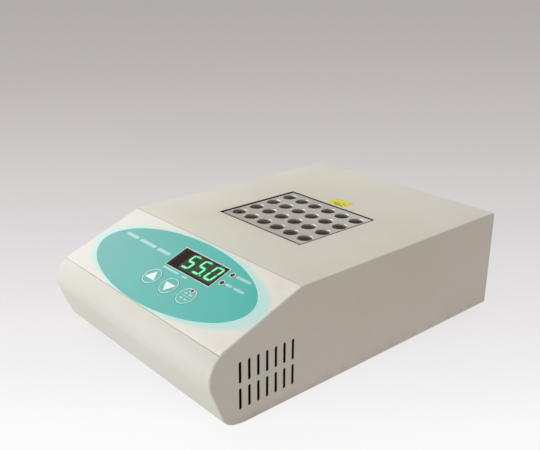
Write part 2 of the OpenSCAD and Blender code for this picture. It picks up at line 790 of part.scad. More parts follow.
module terminal_block() color([0.90, 0.89, 0.86]) at([terminal_at], part_z) difference() {
    union() {
        box(52, 16, 8);
        box(52, 9, 15);
    }
    // screw holes from above and wire holes from front to back
    for (x = terminal_places) {
        translate([x, 0, 6]) cylinder(r = 2, h = 10, $fn = 24);
        translate([x, -20, 4.6]) rod_y(1.9, 40);
    }
}

module earth_stud() color([0.80, 0.70, 0.40]) translate([-20, 262, part_z]) {
    cylinder(r = 2, h = 14, $fn = 24);
    for (z = [0, 5]) translate([0, 0, z]) cylinder(r = 4, h = 2.6, $fn = 6);
}

module mains_wires() color([0.25, 0.30, 0.60]) {
    // from the inlet's tabs to the terminal block
    for (side = [-1, 1]) wire([
        [inlet_x + side * contact_x, body_d - 31.8, rear_centre_z + 2.7],
        [inlet_x + side * 7.6, body_d - 39, rear_centre_z + 2.2],
        [inlet_x + side * 10, 247, base_top + 12],
        [inlet_x + side * 10, terminal_wire_y, base_top + 4.8]]);
    // from the power switch to the terminal block
    wire([
        [switch_x - 3.4, body_d - 30.35, rear_centre_z],
        [switch_x - 6, body_d - 38, rear_centre_z - 1],
        [-33, 249, base_top + 12],
        [-36, terminal_wire_y, base_top + 4.8]]);
    // from the power switch to the triac
    wire([
        [switch_x + 3.4, body_d - 30.35, rear_centre_z],
        [switch_x + 9, body_d - 35, rear_centre_z - 2],
        [40, 266, base_top + 9],
        [52.5, 261, base_top + 6]]);
}

// from the terminal block's front, forward along the heater's left side
module heater_leads() color([0.75, 0.20, 0.15]) for (side = [-1, 1]) wire([
    [-71 + side * 5, 223.7, base_top + 4.6],
    [-71 + side * 5, 217, base_top + 8],
    [-74 + side * 4, 150, base_top + 14],
    [-74 + side * 4, 108, base_top + 20]]);

// from the control board's front socket up to the display board's inner face
module ribbon_cable() color([0.62, 0.62, 0.64]) translate([board_at[0] + ribbon_socket[0], 0, 0]) {
    low_y = board_at[1] + ribbon_socket[1];
    low_z = board_at[2] + 4;
    high = flat_pt(30, board_n - 1.7);
    across(22) polygon([
        [low_y - 0.5, low_z],
        [low_y + 0.5, low_z],
        [low_y + 0.5, low_z + 9],
        high + [1.8, -7],
        high + [0.5, 0],
        high + [-0.6, -0.3],
        high + [0.7, -7.2],
        [low_y - 0.5, low_z + 8.8]]);
}

// centres the whole heater in y
module placed() translate([0, -total_d / 2, 0]) children();

placed() top_housing();
placed() base_plate();
placed() rear_panel();
placed() rubber_feet();
placed() foot_screws();
placed() base_screws();
placed() rear_panel_screws();
placed() hot_surface_label();
placed() rating_plate();
placed() keypad_overlay();
placed() display_window();
placed() up_key();
placed() down_key();
placed() set_key();
placed() set_key_lens();
placed() heating_led();
placed() set_temp_led();
placed() digit_display();
placed() display_board();
placed() tact_switches();
placed() display_board_screws();
placed() heating_block();
placed() block_base();
placed() heater_plate();
placed() heater_mat();
placed() clamp_plate();
placed() clamp_screws();
placed() plate_standoffs();
placed() temperature_sensor();
placed() thermal_cutout();
placed() well_liner();
placed() insulation_jacket();
placed() insulation_pad();
placed() power_inlet();
placed() inlet_pins();
placed() inlet_screws();
placed() fuse_drawer();
placed() fuses();
placed() switch_frame();
placed() power_rocker();
placed() switch_terminals();
placed() control_board();
placed() board_standoffs();
placed() board_screws();
placed() transformer_core();
placed() transformer_coil();
placed() transformer_strap();
placed() strap_screws();
placed() triac();
placed() triac_heatsink();
placed() heatsink_screws();
placed() terminal_block();
placed() filter_capacitor();
placed() control_chip();
placed() board_connectors();
placed() earth_stud();
placed() mains_wires();
placed() heater_leads();
placed() ribbon_cable();
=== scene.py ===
# A bench-top block heater: a moulded housing with a rounded nose, a sloping printed control
# panel with a three-digit display, and a milled heating block let into the flat top behind it.
# The nose faces -Y, X runs across, and Z is up from the bench at z = 0.
# Sizes are in millimetres unless a line says otherwise; MM turns them into metres.
import bpy
import bmesh
import json
import math
from functools import reduce
from operator import mul
import numpy as np
from mathutils import Vector, Matrix, geometry, noise

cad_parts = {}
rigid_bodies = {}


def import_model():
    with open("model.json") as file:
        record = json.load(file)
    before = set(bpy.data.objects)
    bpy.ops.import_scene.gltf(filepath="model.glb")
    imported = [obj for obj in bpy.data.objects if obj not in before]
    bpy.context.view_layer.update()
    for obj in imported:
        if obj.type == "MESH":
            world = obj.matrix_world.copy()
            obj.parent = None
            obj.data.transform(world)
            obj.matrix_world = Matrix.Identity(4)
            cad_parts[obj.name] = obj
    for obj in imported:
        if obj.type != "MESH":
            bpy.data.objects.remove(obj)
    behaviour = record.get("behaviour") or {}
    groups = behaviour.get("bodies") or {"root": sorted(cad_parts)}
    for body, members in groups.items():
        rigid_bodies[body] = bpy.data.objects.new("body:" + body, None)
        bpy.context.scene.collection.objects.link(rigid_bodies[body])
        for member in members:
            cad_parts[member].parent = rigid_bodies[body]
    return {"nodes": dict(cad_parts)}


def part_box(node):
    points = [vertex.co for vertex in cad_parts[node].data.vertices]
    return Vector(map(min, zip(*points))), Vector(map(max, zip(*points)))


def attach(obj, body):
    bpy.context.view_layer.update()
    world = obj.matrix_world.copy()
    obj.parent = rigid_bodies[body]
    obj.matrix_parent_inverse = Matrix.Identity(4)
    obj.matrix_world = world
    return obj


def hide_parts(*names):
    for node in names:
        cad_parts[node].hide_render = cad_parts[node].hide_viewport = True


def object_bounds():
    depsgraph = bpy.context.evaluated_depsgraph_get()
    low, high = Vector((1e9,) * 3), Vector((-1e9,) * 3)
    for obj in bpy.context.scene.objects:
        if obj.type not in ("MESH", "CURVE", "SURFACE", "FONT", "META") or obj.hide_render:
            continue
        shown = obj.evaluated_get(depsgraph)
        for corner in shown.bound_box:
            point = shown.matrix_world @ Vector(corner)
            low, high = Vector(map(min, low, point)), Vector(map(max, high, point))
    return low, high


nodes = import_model()["nodes"]
cad_low, cad_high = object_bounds()
MM = 0.001
scene = bpy.context.scene
objects = scene.collection.objects


def box_mm(node):
    """Low and high corner of a node's box, in mm."""
    return [[value * 1000 for value in corner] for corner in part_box(node)]


# ---------------------------------------------------------------- housing and panel frame
housing_low, housing_high = box_mm("top_housing")
NOSE_Y = housing_low[1]
UNDERSIDE = housing_low[2]
TOP = housing_high[2]
HALF_WIDTH = housing_high[0]
SLOPE = math.radians(20.6)
SIN_SLOPE, COS_SLOPE = math.sin(SLOPE), math.cos(SLOPE)
NOSE_RADIUS = 20.5
NOSE_CENTRE = 37.6                      # height over the underside
CREASE_UP = 73.04                       # from the panel's origin up the slope to the flat top

# Y is counted from the nose and Z from the underside, up to the panel's origin
body_height = TOP - UNDERSIDE
tangent_y = NOSE_RADIUS - NOSE_RADIUS * SIN_SLOPE
tangent_z = NOSE_CENTRE + NOSE_RADIUS * COS_SLOPE
crease_y = tangent_y + (body_height - tangent_z) / math.tan(SLOPE)
PANEL_Y = crease_y - CREASE_UP * COS_SLOPE                    # from the nose
PANEL_Z = UNDERSIDE + body_height - CREASE_UP * SIN_SLOPE     # from the bench
FLAT_UP = (tangent_y - PANEL_Y) / COS_SLOPE    # the nose's curve ends, the flat slope starts

window_low, window_high = box_mm("display_window")
WINDOW_X = (window_low[0], window_high[0])
WINDOW_UP = ((window_low[1] - NOSE_Y - PANEL_Y) / COS_SLOPE,
             (window_high[2] - PANEL_Z) / SIN_SLOPE)

# the printed oval: centre, half axes, and how far it is turned
OVAL_X, OVAL_UP = -0.95, 35.45
OVAL_HALF_X, OVAL_HALF_UP = 89.2, 34.95
OVAL_TILT = 0.014


def on_panel(x, up, out):
    """Point on the panel in metres: x across, up the slope, out from its face, all in mm."""
    if up >= FLAT_UP:
        y = PANEL_Y + up * COS_SLOPE - out * SIN_SLOPE
        z = PANEL_Z + up * SIN_SLOPE + out * COS_SLOPE
    else:
        angle = math.pi / 2 + SLOPE + (FLAT_UP - up) / NOSE_RADIUS
        y = NOSE_RADIUS + (NOSE_RADIUS + out) * math.cos(angle)
        z = UNDERSIDE + NOSE_CENTRE + (NOSE_RADIUS + out) * math.sin(angle)
    return Vector((x, NOSE_Y + y, z)) * MM


# ---------------------------------------------------------------- shader graph helpers
def linear(rgb):
    """Linear RGBA of an sRGB colour given as 0 to 255."""
    levels = (value / 255 for value in rgb)
    return tuple(c / 12.92 if c <= 0.04045 else ((c + 0.055) / 1.055) ** 2.4
                 for c in levels) + (1.0,)


def shade(base, gain, lift=0.0):
    """A linear colour scaled and lifted, held at white."""
    return tuple(min(1, c * gain + lift) for c in base[:3]) + (1,)


def filtered(base, gains):
    """A linear colour with each channel scaled on its own."""
    return tuple(c * gain for c, gain in zip(base[:3], gains)) + (1,)


class Signal:
    """An output socket; arithmetic on it makes Math nodes."""

    def __init__(self, mat, socket):
        self.mat, self.socket = mat, socket

    def __add__(self, other):
        return self.mat.math("ADD", self, other)

    def __radd__(self, other):
        return self.mat.math("ADD", other, self)

    def __sub__(self, other):
        return self.mat.math("SUBTRACT", self, other)

    def __rsub__(self, other):
        return self.mat.math("SUBTRACT", other, self)

    def __mul__(self, other):
        return self.mat.math("MULTIPLY", self, other)

    def __truediv__(self, other):
        return self.mat.math("DIVIDE", self, other)

    def __abs__(self):
        return self.mat.math("ABSOLUTE", self)

    def larger(self, other):
        return self.mat.math("MAXIMUM", self, other)

    def floor(self):
        return self.mat.math("FLOOR", self)

    def root(self):
        return self.mat.math("SQRT", self)

    def sine(self):
        return self.mat.math("SINE", self)

    def step(self, start=0.3, end=0.7):
        """Smooth rise from 0 at start to 1 at end; end may lie below start."""
        inputs = {"Value": self, "From Min": start, "From Max": end}
        return self.mat.signal("MapRange", inputs, "Result", interpolation_type="SMOOTHSTEP")


def product(*masks):
    return reduce(mul, masks)


def hypotenuse(a, b):
    return (a * a + b * b).root()


def within(value, low, high, start, end):
    """Mask of low < value < high, rising between two margins beyond those limits."""
    half = (high - low) / 2
    return abs(value - (low + high) / 2).step(half + start, half + end)


class Material:
    """A material under construction. Three-number colours are sRGB, four-number linear."""

    def __init__(self, name):
        self.material = bpy.data.materials.new(name)
        self.material.use_nodes = True
        self.tree = self.material.node_tree
        self.tree.nodes.clear()
        self.output = self.node("OutputMaterial")
        self.cached_position = None

    def put(self, socket, value):
        if isinstance(value, Signal):
            self.tree.links.new(value.socket, socket)
        elif socket.type == "RGBA" and len(value) == 3:
            socket.default_value = linear(value)
        else:
            socket.default_value = value

    def node(self, kind, inputs=None, **settings):
        node = self.tree.nodes.new("ShaderNode" + kind)
        for key, value in settings.items():
            setattr(node, key, value)
        for key, value in (inputs or {}).items():
            self.put(node.inputs[key], value)
        return node

    def signal(self, kind, inputs=None, output=0, **settings):
        return Signal(self, self.node(kind, inputs, **settings).outputs[output])

    def math(self, operation, *values, clamp=False):
        inputs = dict(enumerate(values))
        return self.signal("Math", inputs, operation=operation, use_clamp=clamp)

    def vector(self, operation, inputs, output="Vector"):
        return self.signal("VectorMath", inputs, output, operation=operation)

    def position(self):
        """Object coordinates in mm."""
        if self.cached_position is None:
            metres = self.signal("TexCoord", output="Object")
            self.cached_position = self.vector("SCALE", {0: metres, "Scale": 1000.0})
        return self.cached_position

    def shifted(self, seed, y_factor, z_factor):
        """Position moved so that like materials differ."""
        offset = (seed, seed * y_factor, seed * z_factor)
        return self.vector("ADD", {0: self.position(), 1: offset})

    def stretch(self, x, y, z, at=None):
        node = self.node("Mapping", {"Vector": at or self.position()})
        node.inputs["Scale"].default_value = (x, y, z)
        return Signal(self, node.outputs[0])

    def xyz(self, vector=None):
        node = self.node("SeparateXYZ", {0: vector or self.position()})
        return [Signal(self, node.outputs[axis]) for axis in "XYZ"]

    def normal_z(self):
        return self.xyz(self.signal("NewGeometry", output="Normal"))[2]

    def panel_xy(self):
        """Across and up the sloping panel."""
        x, y, z = self.xyz()
        y = y - (NOSE_Y + PANEL_Y)
        z = z - PANEL_Z
        return x, y * COS_SLOPE + z * SIN_SLOPE

    def noise(self, scale, detail=3.0, rough=0.6, at=None, distortion=0.0):
        inputs = {"Vector": at or self.position(), "Scale": scale, "Detail": detail,
                  "Roughness": rough, "Distortion": distortion}
        return self.signal("TexNoise", inputs, "Fac")

    def cells(self, scale, at=None, feature="F1", randomness=1.0):
        """Distance to the nearest Voronoi point."""
        inputs = {"Vector": at or self.position(), "Scale": scale, "Randomness": randomness}
        return self.signal("TexVoronoi", inputs, "Distance", feature=feature)

    def mix(self, mask, below, above, blend="MIX"):
        return self.signal("Mix", {0: mask, 6: below, 7: above}, 2, data_type="RGBA",
                           blend_type=blend, clamp_factor=True)

    def tint(self, colour, other, mask, amount):
        """Lay another colour over this one where the mask is, to the given amount."""
        return self.mix(mask * amount, colour, other)

    def rounded_normal(self, radius):
        return self.signal("Bevel", {"Radius": radius * MM}, samples=6)

    def edge(self, radius, gain=3.0):
        """Mask of the edges, from how far a rounded normal departs from the true one."""
        rounded = self.rounded_normal(radius)
        true = self.signal("NewGeometry", output="Normal")
        likeness = self.vector("DOT_PRODUCT", {0: rounded, 1: true}, "Value")
        return self.math("MULTIPLY", 1.0 - likeness, gain, clamp=True)

    def bump(self, height, depth, strength, radius=None):
        """Relief of a depth in mm, on edges rounded to a radius where one is given."""
        inputs = {"Strength": strength, "Distance": depth * MM, "Height": height}
        if radius:
            inputs["Normal"] = self.rounded_normal(radius)
        return self.signal("Bump", inputs)

    def bsdf(self, colour, rough, normal, metal=0.0, spec=0.5, coat=0.0, coat_rough=0.1,
             sheen=0.0, emission=None, glow=0.0):
        inputs = {"Base Color": colour, "Roughness": rough, "Metallic": metal,
                  "Specular IOR Level": spec, "Coat Weight": coat,
                  "Coat Roughness": coat_rough, "Sheen Weight": sheen, "IOR": 1.45,
                  "Normal": normal}
        if emission is not None:
            inputs["Emission Color"] = emission
            inputs["Emission Strength"] = glow
        return self.signal("BsdfPrincipled", inputs)

    def mix_shaders(self, mask, below, above):
        return self.signal("MixShader", {0: mask, 1: below, 2: above})

    def done(self, shader):
        self.put(self.output.inputs["Surface"], shader)
        return self.material

    def surface(self, colour, rough, normal, **settings):
        """Finish the material with one principled shader."""
        return self.done(self.bsdf(colour, rough, normal, **settings))


# links signals, turns three-number colours on colour sockets linear, and sets all else as
# given
def put_value(self, socket, value):
    if isinstance(value, Signal):
        self.tree.links.new(value.socket, socket)
    elif socket.type == "RGBA" and len(value) == 3:
        socket.default_value = linear(value)
    else:
        socket.default_value = value


Material.put = put_value


# ---------------------------------------------------------------- general materials
def plastic(name, rgb, rough, grain, grain_depth, mottling, wear, worn_rgb, edge_radius,
            spec=0.45, coat=0.0, seed=0.0, dust=0.0):
    """Moulded plastic: fine spark-eroded grain, faint mottling, polish along its edges."""
    mat = Material(name)
    base = linear(rgb)
    pos = mat.shifted(seed, 1.7, 0.6)
    cloud = mat.noise(scale=0.02, detail=4, at=pos)
    fine = mat.noise(scale=0.9, at=pos)
    colour = mat.mix(cloud.step(), shade(base, 1 - mottling * 1.6), shade(base, 1 + mottling))
    colour = mat.tint(colour, shade(base, 1 - mottling), fine.step(0.35, 0.75), amount=0.35)
    patches = mat.noise(scale=0.35, detail=4, rough=0.65, at=pos).step(0.3, 0.65)
    worn = mat.edge(edge_radius) * patches
    colour = mat.tint(colour, worn_rgb or shade(base, 1.25, lift=0.02), worn, amount=wear)
    if dust:
        facing_up = mat.normal_z().step(0.4, 0.95)
        settled = mat.noise(scale=0.12, detail=5, rough=0.7, at=pos).step(0.45, 0.75)
        colour = mat.tint(colour, (200, 196, 186), facing_up * settled, amount=dust)
    grains = mat.noise(scale=grain, detail=2, rough=0.5, at=pos)
    height = grains * 0.6 + mat.cells(scale=grain * 0.8, at=pos, feature="SMOOTH_F1") * 0.5
    rough = (cloud.step() * 0.07 + (rough - 0.03)) + grains * 0.05 - worn * 0.12
    normal = mat.bump(height, depth=grain_depth, strength=0.8, radius=edge_radius)
    return mat.surface(colour, rough, normal, spec=spec, coat=coat)


def metal(name, rgb, rough, brush, brush_depth, mottling, wear, edge_radius=0.3,
          metallic=1.0, seed=0.0, tarnish=None):
    """Metal: drawn or milled texture, cloudy plating, brighter edges."""
    mat = Material(name)
    base = linear(rgb)
    pos = mat.shifted(seed, 1.3, 0.7)
    lines = mat.noise(scale=1.0, at=mat.stretch(*brush, at=pos))
    cloud = mat.noise(scale=0.06, detail=5, at=pos)
    fine = mat.noise(scale=1.1, at=pos)
    colour = mat.mix(cloud.step(), shade(base, 1 - mottling * 1.5), shade(base, 1 + mottling))
    colour = mat.tint(colour, shade(base, 0.82), lines.step(0.35, 0.7), amount=0.25)
    if tarnish:
        spots = mat.noise(scale=0.2, detail=5, rough=0.7, at=pos).step(0.5, 0.75)
        colour = mat.tint(colour, tarnish, spots, amount=0.5)
    worn = mat.edge(edge_radius) * fine.step(0.25, 0.6)
    colour = mat.tint(colour, shade(base, 1.3, lift=0.08), worn, amount=wear)
    rough = (lines * 0.12 + cloud * 0.14) + (rough - 0.12) - worn * 0.1
    normal = mat.bump(lines, depth=brush_depth, strength=0.7, radius=edge_radius)
    return mat.surface(colour, rough, normal, metal=metallic)


def label(name, rgb):
    """Vinyl label: uneven gloss, thin edge, scuffs."""
    mat = Material(name)
    base = linear(rgb)
    cloud = mat.noise(scale=0.35, detail=4)
    scuffs = mat.noise(scale=0.9, at=mat.stretch(0.4, 6.0, 1.0))
    colour = mat.mix(cloud.step(), shade(base, 0.93), base)
    colour = mat.tint(colour, shade(base, 1.1, lift=0.06), scuffs.step(0.62, 0.7), amount=0.22)
    colour = mat.tint(colour, shade(base, 0.7), mat.edge(0.3), amount=0.35)
    relief = mat.noise(scale=0.6, detail=2, rough=0.5)
    normal = mat.bump(relief, depth=0.01, strength=0.5, radius=0.08)
    return mat.surface(colour, 0.30 + cloud * 0.16, normal, spec=0.45)


def lens(name, rgb, glow=0.0, glow_rgb=None):
    """Tinted LED lens: a domed gloss over a lit or unlit chip."""
    mat = Material(name)
    base = linear(rgb)
    cloud = mat.noise(scale=0.8)
    colour = mat.mix(cloud.step(), shade(base, 0.8), shade(base, 1.1))
    colour = mat.tint(colour, shade(base, 0.5), mat.edge(0.3, gain=2.5), amount=0.35)
    relief = mat.noise(scale=0.6, detail=2, rough=0.5)
    normal = mat.bump(relief, depth=0.02, strength=0.3, radius=0.25)
    return mat.surface(colour, 0.22 + cloud * 0.08, normal, spec=0.08, coat=0.03,
                       coat_rough=0.2, emission=glow_rgb or rgb, glow=glow)


def wire(name, rgb):
    """Wire insulation, paler on its upper side."""
    mat = Material(name)
    base = linear(rgb)
    cloud = mat.noise(scale=0.25, detail=4)
    fine = mat.noise(scale=2.0, detail=2, rough=0.5)
    colour = mat.mix(cloud.step(), shade(base, 0.85), shade(base, 1.12))
    colour = mat.tint(colour, (170, 168, 166), mat.normal_z().step(-0.2, 0.9), amount=0.15)
    normal = mat.bump(fine, depth=0.02, strength=0.4, radius=0.2)
    return mat.surface(colour, 0.34 + fine * 0.12, normal)


# ---------------------------------------------------------------- housing
BLOCK_Y = 166.2                         # block centre from the nose, for the ageing
BLOCK_HALF = (48.0, 40.8)               # its half sizes along X and Y
WALL_MARGINS = (2.6, 2.75)              # the painted inside shade starts this far into the wall
SLOTS_Y, SLOTS_Z = (21.0, 72.0), (8.0, 48.0)    # side vents, from the nose and underside


def painted_dark_shade(mat, pos):
    """Mask of painted shade: the dark inside, the vents, the cut edge round the block, the
    window's seat.
    """
    x, y, z = mat.xyz()
    side = abs(x)
    from_nose = y - NOSE_Y
    height = z - UNDERSIDE
    over_panel = (z - PANEL_Z) * COS_SLOPE - (from_nose - PANEL_Y) * SIN_SLOPE
    flattened = mat.vector("MULTIPLY", {0: pos, 1: (0, 1, 1)})
    nose_axis = (0, NOSE_Y + NOSE_RADIUS, UNDERSIDE + NOSE_CENTRE)
    from_axis = mat.vector(
        "LENGTH", {0: mat.vector("SUBTRACT", {0: flattened, 1: nose_axis})}, "Value")
    start, end = WALL_MARGINS
    inside_housing = product(
        side.step(HALF_WIDTH - start, HALF_WIDTH - end),
        z.step(TOP - start, TOP - end),
        height.step(2.5, 2.7),
        over_panel.step(-start, -end),
        from_nose.step(NOSE_RADIUS - 0.1, NOSE_RADIUS + 0.1).larger(
            from_axis.step(NOSE_RADIUS - 2.7, NOSE_RADIUS - 2.8)))
    vents = product(
        side.step(HALF_WIDTH - 0.22, HALF_WIDTH - 0.45),
        from_nose.step(SLOTS_Y[0], SLOTS_Y[0] + 1), from_nose.step(SLOTS_Y[1], SLOTS_Y[1] - 1),
        height.step(SLOTS_Z[0], SLOTS_Z[0] + 1), height.step(SLOTS_Z[1], SLOTS_Z[1] - 1))
    liner_low, liner_high = box_mm("well_liner")
    cut_edge = product(
        z.step(TOP - 0.12, TOP - 0.35), z.step(TOP - 3.3, TOP - 3.1),
        within(x, liner_low[0], liner_high[0], start=-5.0, end=-5.2),
        within(y, liner_low[1], liner_high[1], start=-5.0, end=-5.2))
    across, up = mat.panel_xy()
    seat = product(
        over_panel.step(-0.56, -0.64),
        within(across, *WINDOW_X, start=1.0, end=0.8),
        within(up, *WINDOW_UP, start=1.0, end=0.8))
    return inside_housing.larger(vents).larger(cut_edge).larger(seat)


def case_moulding():
    """Warm white moulding, painted near-black on its inside as shade."""
    mat = Material("case_moulding")
    base = linear((224, 219, 207))
    pos = mat.position()
    broad = mat.noise(scale=0.012, detail=4, rough=0.55)
    cloud = mat.noise(scale=0.11, detail=4)
    fine = mat.noise(scale=1.4, detail=2)
    colour = mat.mix(broad.step(), filtered(base, (0.965, 0.962, 0.95)), shade(base, 1.02))
    yellowed = filtered(base, (0.975, 0.965, 0.94))
    colour = mat.tint(colour, yellowed, cloud.step(0.4, 0.8), amount=0.5)
    colour = mat.tint(colour, shade(base, 0.86), fine.step(0.5, 0.8), amount=0.10)

    # grime gathers low down
    # darker towards the bottom, in patches
    height = mat.xyz()[2]
    darker_low_down = height.step(UNDERSIDE + 9, UNDERSIDE) * cloud.step(0.35, 0.7)
    colour = mat.tint(colour, (120, 112, 100), darker_low_down, amount=0.16)

    # faint ageing round the warm block
    x, y, _ = mat.xyz()
    beyond_x = (abs(x) - BLOCK_HALF[0]).larger(0.0)
    beyond_y = (abs(y - (NOSE_Y + BLOCK_Y)) - BLOCK_HALF[1]).larger(0.0)
    aged = hypotenuse(beyond_x, beyond_y).step(9.0, 0.0) * height.step(TOP - 4, TOP - 0.5)
    colour = mat.tint(colour, (206, 190, 150), aged, amount=0.10)

    worn = mat.edge(0.6) * mat.noise(scale=0.25, detail=5, rough=0.7).step(0.3, 0.65)
    colour = mat.tint(colour, (240, 237, 229), worn, amount=0.35)
    # painted shade: the inside, the vents, the cut edge round the block and the window's seat
    # go near-black
    painted_shade_colour = mat.mix(cloud.step(), (11, 10, 10), (18, 16, 16))
    colour = mat.mix(painted_dark_shade(mat, pos), colour, painted_shade_colour)

    relief = (mat.cells(scale=1.5, feature="SMOOTH_F1") * 0.6
              + mat.noise(scale=2.6, detail=2, rough=0.5) * 0.5)
    rough = 0.50 + (cloud * 0.08 + fine * 0.06) - worn * 0.12
    normal = mat.bump(relief, depth=0.020, strength=0.55, radius=0.45)
    return mat.surface(colour, rough, normal, spec=0.42)


# ---------------------------------------------------------------- printed films
def film_surface(mat, colour, rough, edge_rgb):
    """Matt-grained satin top with wiping smears, shared by all the inks."""
    fine = mat.noise(scale=1.9, detail=2, rough=0.5)
    smear = mat.noise(scale=0.5, detail=4, rough=0.7, at=mat.stretch(0.25, 1.2, 1.0),
                      distortion=0.6)
    colour = mat.tint(colour, edge_rgb, mat.edge(0.25), amount=0.25)
    rough = (rough - 0.04) + (smear.step(0.35, 0.75) * 0.09 + fine * 0.04)
    relief = fine * 0.6 + mat.noise(scale=3.4, detail=1, rough=0.5) * 0.5
    normal = mat.bump(relief, depth=0.006, strength=0.6, radius=0.12)
    return mat.surface(colour, rough, normal, spec=0.42, coat=0.12, coat_rough=0.32)


PALE_EDGE = (188, 182, 170)


def plain_film(name, rgb, other_rgb):
    mat = Material(name)
    cloud = mat.noise(scale=0.09, detail=4)
    colour = mat.tint(rgb, other_rgb, cloud.step(0.35, 0.7), amount=0.5)
    return film_surface(mat, colour, 0.42, PALE_EDGE)


def teal_film():
    """Teal ink, paler towards the left as a painted reflection and shifting in hue up the
    panel, with the screen print's dots.
    """
    mat = Material("film_teal")
    across, up = mat.panel_xy()
    cloud = mat.noise(scale=0.09, detail=4)
    # painted reflection: the ink is paler towards the left
    colour = mat.mix(across.step(-95.0, 60.0), (62, 168, 160), (29, 180, 167))
    colour = mat.tint(colour, (61, 169, 168), up.step(70.0, 0.0), amount=0.25)
    colour = mat.tint(colour, (80, 172, 160), cloud.step(0.35, 0.75), amount=0.12)
    dots = mat.cells(scale=2.4, randomness=0.15)
    colour = mat.tint(colour, (190, 230, 222), dots.step(0.42, 0.2), amount=0.05)
    return film_surface(mat, colour, 0.36, (150, 160, 152))


def overlay_film():
    """Off-white overlay with a pale glow printed round the oval."""
    mat = Material("film_off_white")
    across, up = mat.panel_xy()
    cloud = mat.noise(scale=0.09, detail=4)
    colour = mat.mix(cloud.step(0.3, 0.75), (234, 227, 217), (229, 222, 211))
    colour = mat.mix(across.step(-20.0, -85.0), colour, (226, 221, 212))
    x, y = across - OVAL_X, up - OVAL_UP
    x, y = x + y * OVAL_TILT, y - x * OVAL_TILT
    # the glow is wide at the oval's ends and narrow along it
    glow = hypotenuse((x - 2.2) / 99.5, y / 37.2)
    colour = mat.mix(glow.step(1.035, 0.955), colour, (192, 228, 220))
    oval = hypotenuse(x / OVAL_HALF_X, y / OVAL_HALF_UP)
    # painted highlight: a whiter glint along the oval's upper rim
    painted_rim_glint = oval.step(1.02, 1.004) * y.step(4.0, 16.0)
    colour = mat.tint(colour, (232, 244, 240), painted_rim_glint, amount=0.3)
    return film_surface(mat, colour, 0.40, PALE_EDGE)


# ---------------------------------------------------------------- heating block
LANE_START, LANE_PITCH = 126.8, 26.3    # the face mill's lanes, from the nose
LANE_AXIS = 13.1                        # cutter axis from its lane's edge
CUTTER_SQUARED = 420.0                  # squared radius of the milled arcs


def block_anodised():
    """Milled, satin-anodised aluminium: cutter arcs on the top, tool rings down the wells."""
    mat = Material("block_anodised")
    x, y, z = mat.xyz()
    facing_up = mat.normal_z()
    is_top = facing_up.step(0.7, 0.95)

    # arcs of a face mill that travelled along X
    lane = ((y - (NOSE_Y + LANE_START)) / LANE_PITCH).floor() * LANE_PITCH
    off_axis = y - (lane + (NOSE_Y + LANE_START + LANE_AXIS))
    arc = x + (CUTTER_SQUARED - off_axis * off_axis).larger(0.0).root()
    streaks = mat.noise(scale=0.8, detail=2, rough=0.5, at=mat.stretch(1, 0.1, 1))
    milled = ((arc * 5.2).sine() * 0.5 + 0.5) * 0.7 + streaks * 0.5
    layers = mat.noise(scale=1.0, at=mat.stretch(0.4, 0.4, 6.0))
    turned = (z * 9.0).sine() * 0.25 + layers
    relief = mat.mix(is_top, turned, milled)

    cloud = mat.noise(scale=0.05, detail=5)
    fine = mat.noise(scale=1.2)
    colour = mat.mix(cloud.step(), (196, 191, 181), (209, 204, 195))
    colour = mat.tint(colour, (180, 177, 168), fine.step(0.4, 0.8), amount=0.18)
    # painted shade: darker and browner down the wells and sides
    painted_well_shade = (1.0 - is_top) * z.step(TOP - 1.0, TOP - 3.6)
    colour = mat.tint(colour, (142, 131, 112), painted_well_shade, amount=0.78)
    # hairline scratches and stains on the top
    scratches = mat.noise(scale=0.7, detail=2, rough=0.5, at=mat.stretch(0.15, 5.0, 1.0))
    scratched = scratches.step(0.66, 0.72) * is_top
    colour = mat.tint(colour, (232, 231, 228), scratched, amount=0.35)
    stain = mat.noise(scale=0.11, detail=5, rough=0.7).step(0.56, 0.72) * is_top
    colour = mat.tint(colour, (168, 164, 155), stain, amount=0.30)
    # painted highlight: lighter chamfers and top edges
    chamfer = facing_up.step(0.25, 0.5) * facing_up.step(0.93, 0.8)
    painted_highlight = (mat.edge(0.35, gain=3.2) * z.step(TOP - 2.0, TOP - 0.9)).larger(chamfer)
    colour = mat.tint(colour, (232, 230, 225), painted_highlight, amount=0.35)

    rough = 0.36 + (cloud * 0.12 + stain * 0.10) - painted_highlight * 0.14
    normal = mat.bump(relief, depth=0.010, strength=0.5, radius=0.18)
    return mat.surface(colour, rough, normal, metal=0.50 - chamfer * 0.15)


# ---------------------------------------------------------------- display materials
def smoked_acrylic():
    """Window sheet: lets the lit digits through, with a polished face."""
    mat = Material("smoked_acrylic")
    smear = mat.noise(scale=0.35, detail=4, rough=0.7, at=mat.stretch(0.3, 1.5, 1.0),
                      distortion=0.5)
    colour = mat.mix(mat.noise(scale=0.08, rough=0.5).step(), (40, 32, 28), (46, 37, 33))
    relief = mat.noise(scale=0.25, detail=2, rough=0.5)
    # the face glows faintly as a painted sheen in place of its reflection, which keeps the
    # dark display free of speckle
    face = mat.bsdf(colour, 0.06 + smear.step(0.4, 0.8) * 0.10,
                    mat.bump(relief, depth=0.004, strength=0.4),
                    spec=0.04, emission=(120, 104, 95), glow=1.0)
    fresnel = mat.signal("LayerWeight", {"Blend": 0.25}, "Fresnel")
    front = 1.0 - mat.signal("NewGeometry", output="Backfacing")
    # light leaves through the far side unchanged
    passed = mat.mix(front, (1, 1, 1, 1), (0.80, 0.82, 0.80, 1))
    clear = mat.signal("BsdfTransparent", {"Color": passed})
    mask = mat.math("MULTIPLY", front, 0.12 + fresnel * 0.45, clamp=True)
    return mat.done(mat.mix_shaders(mask, clear, face))


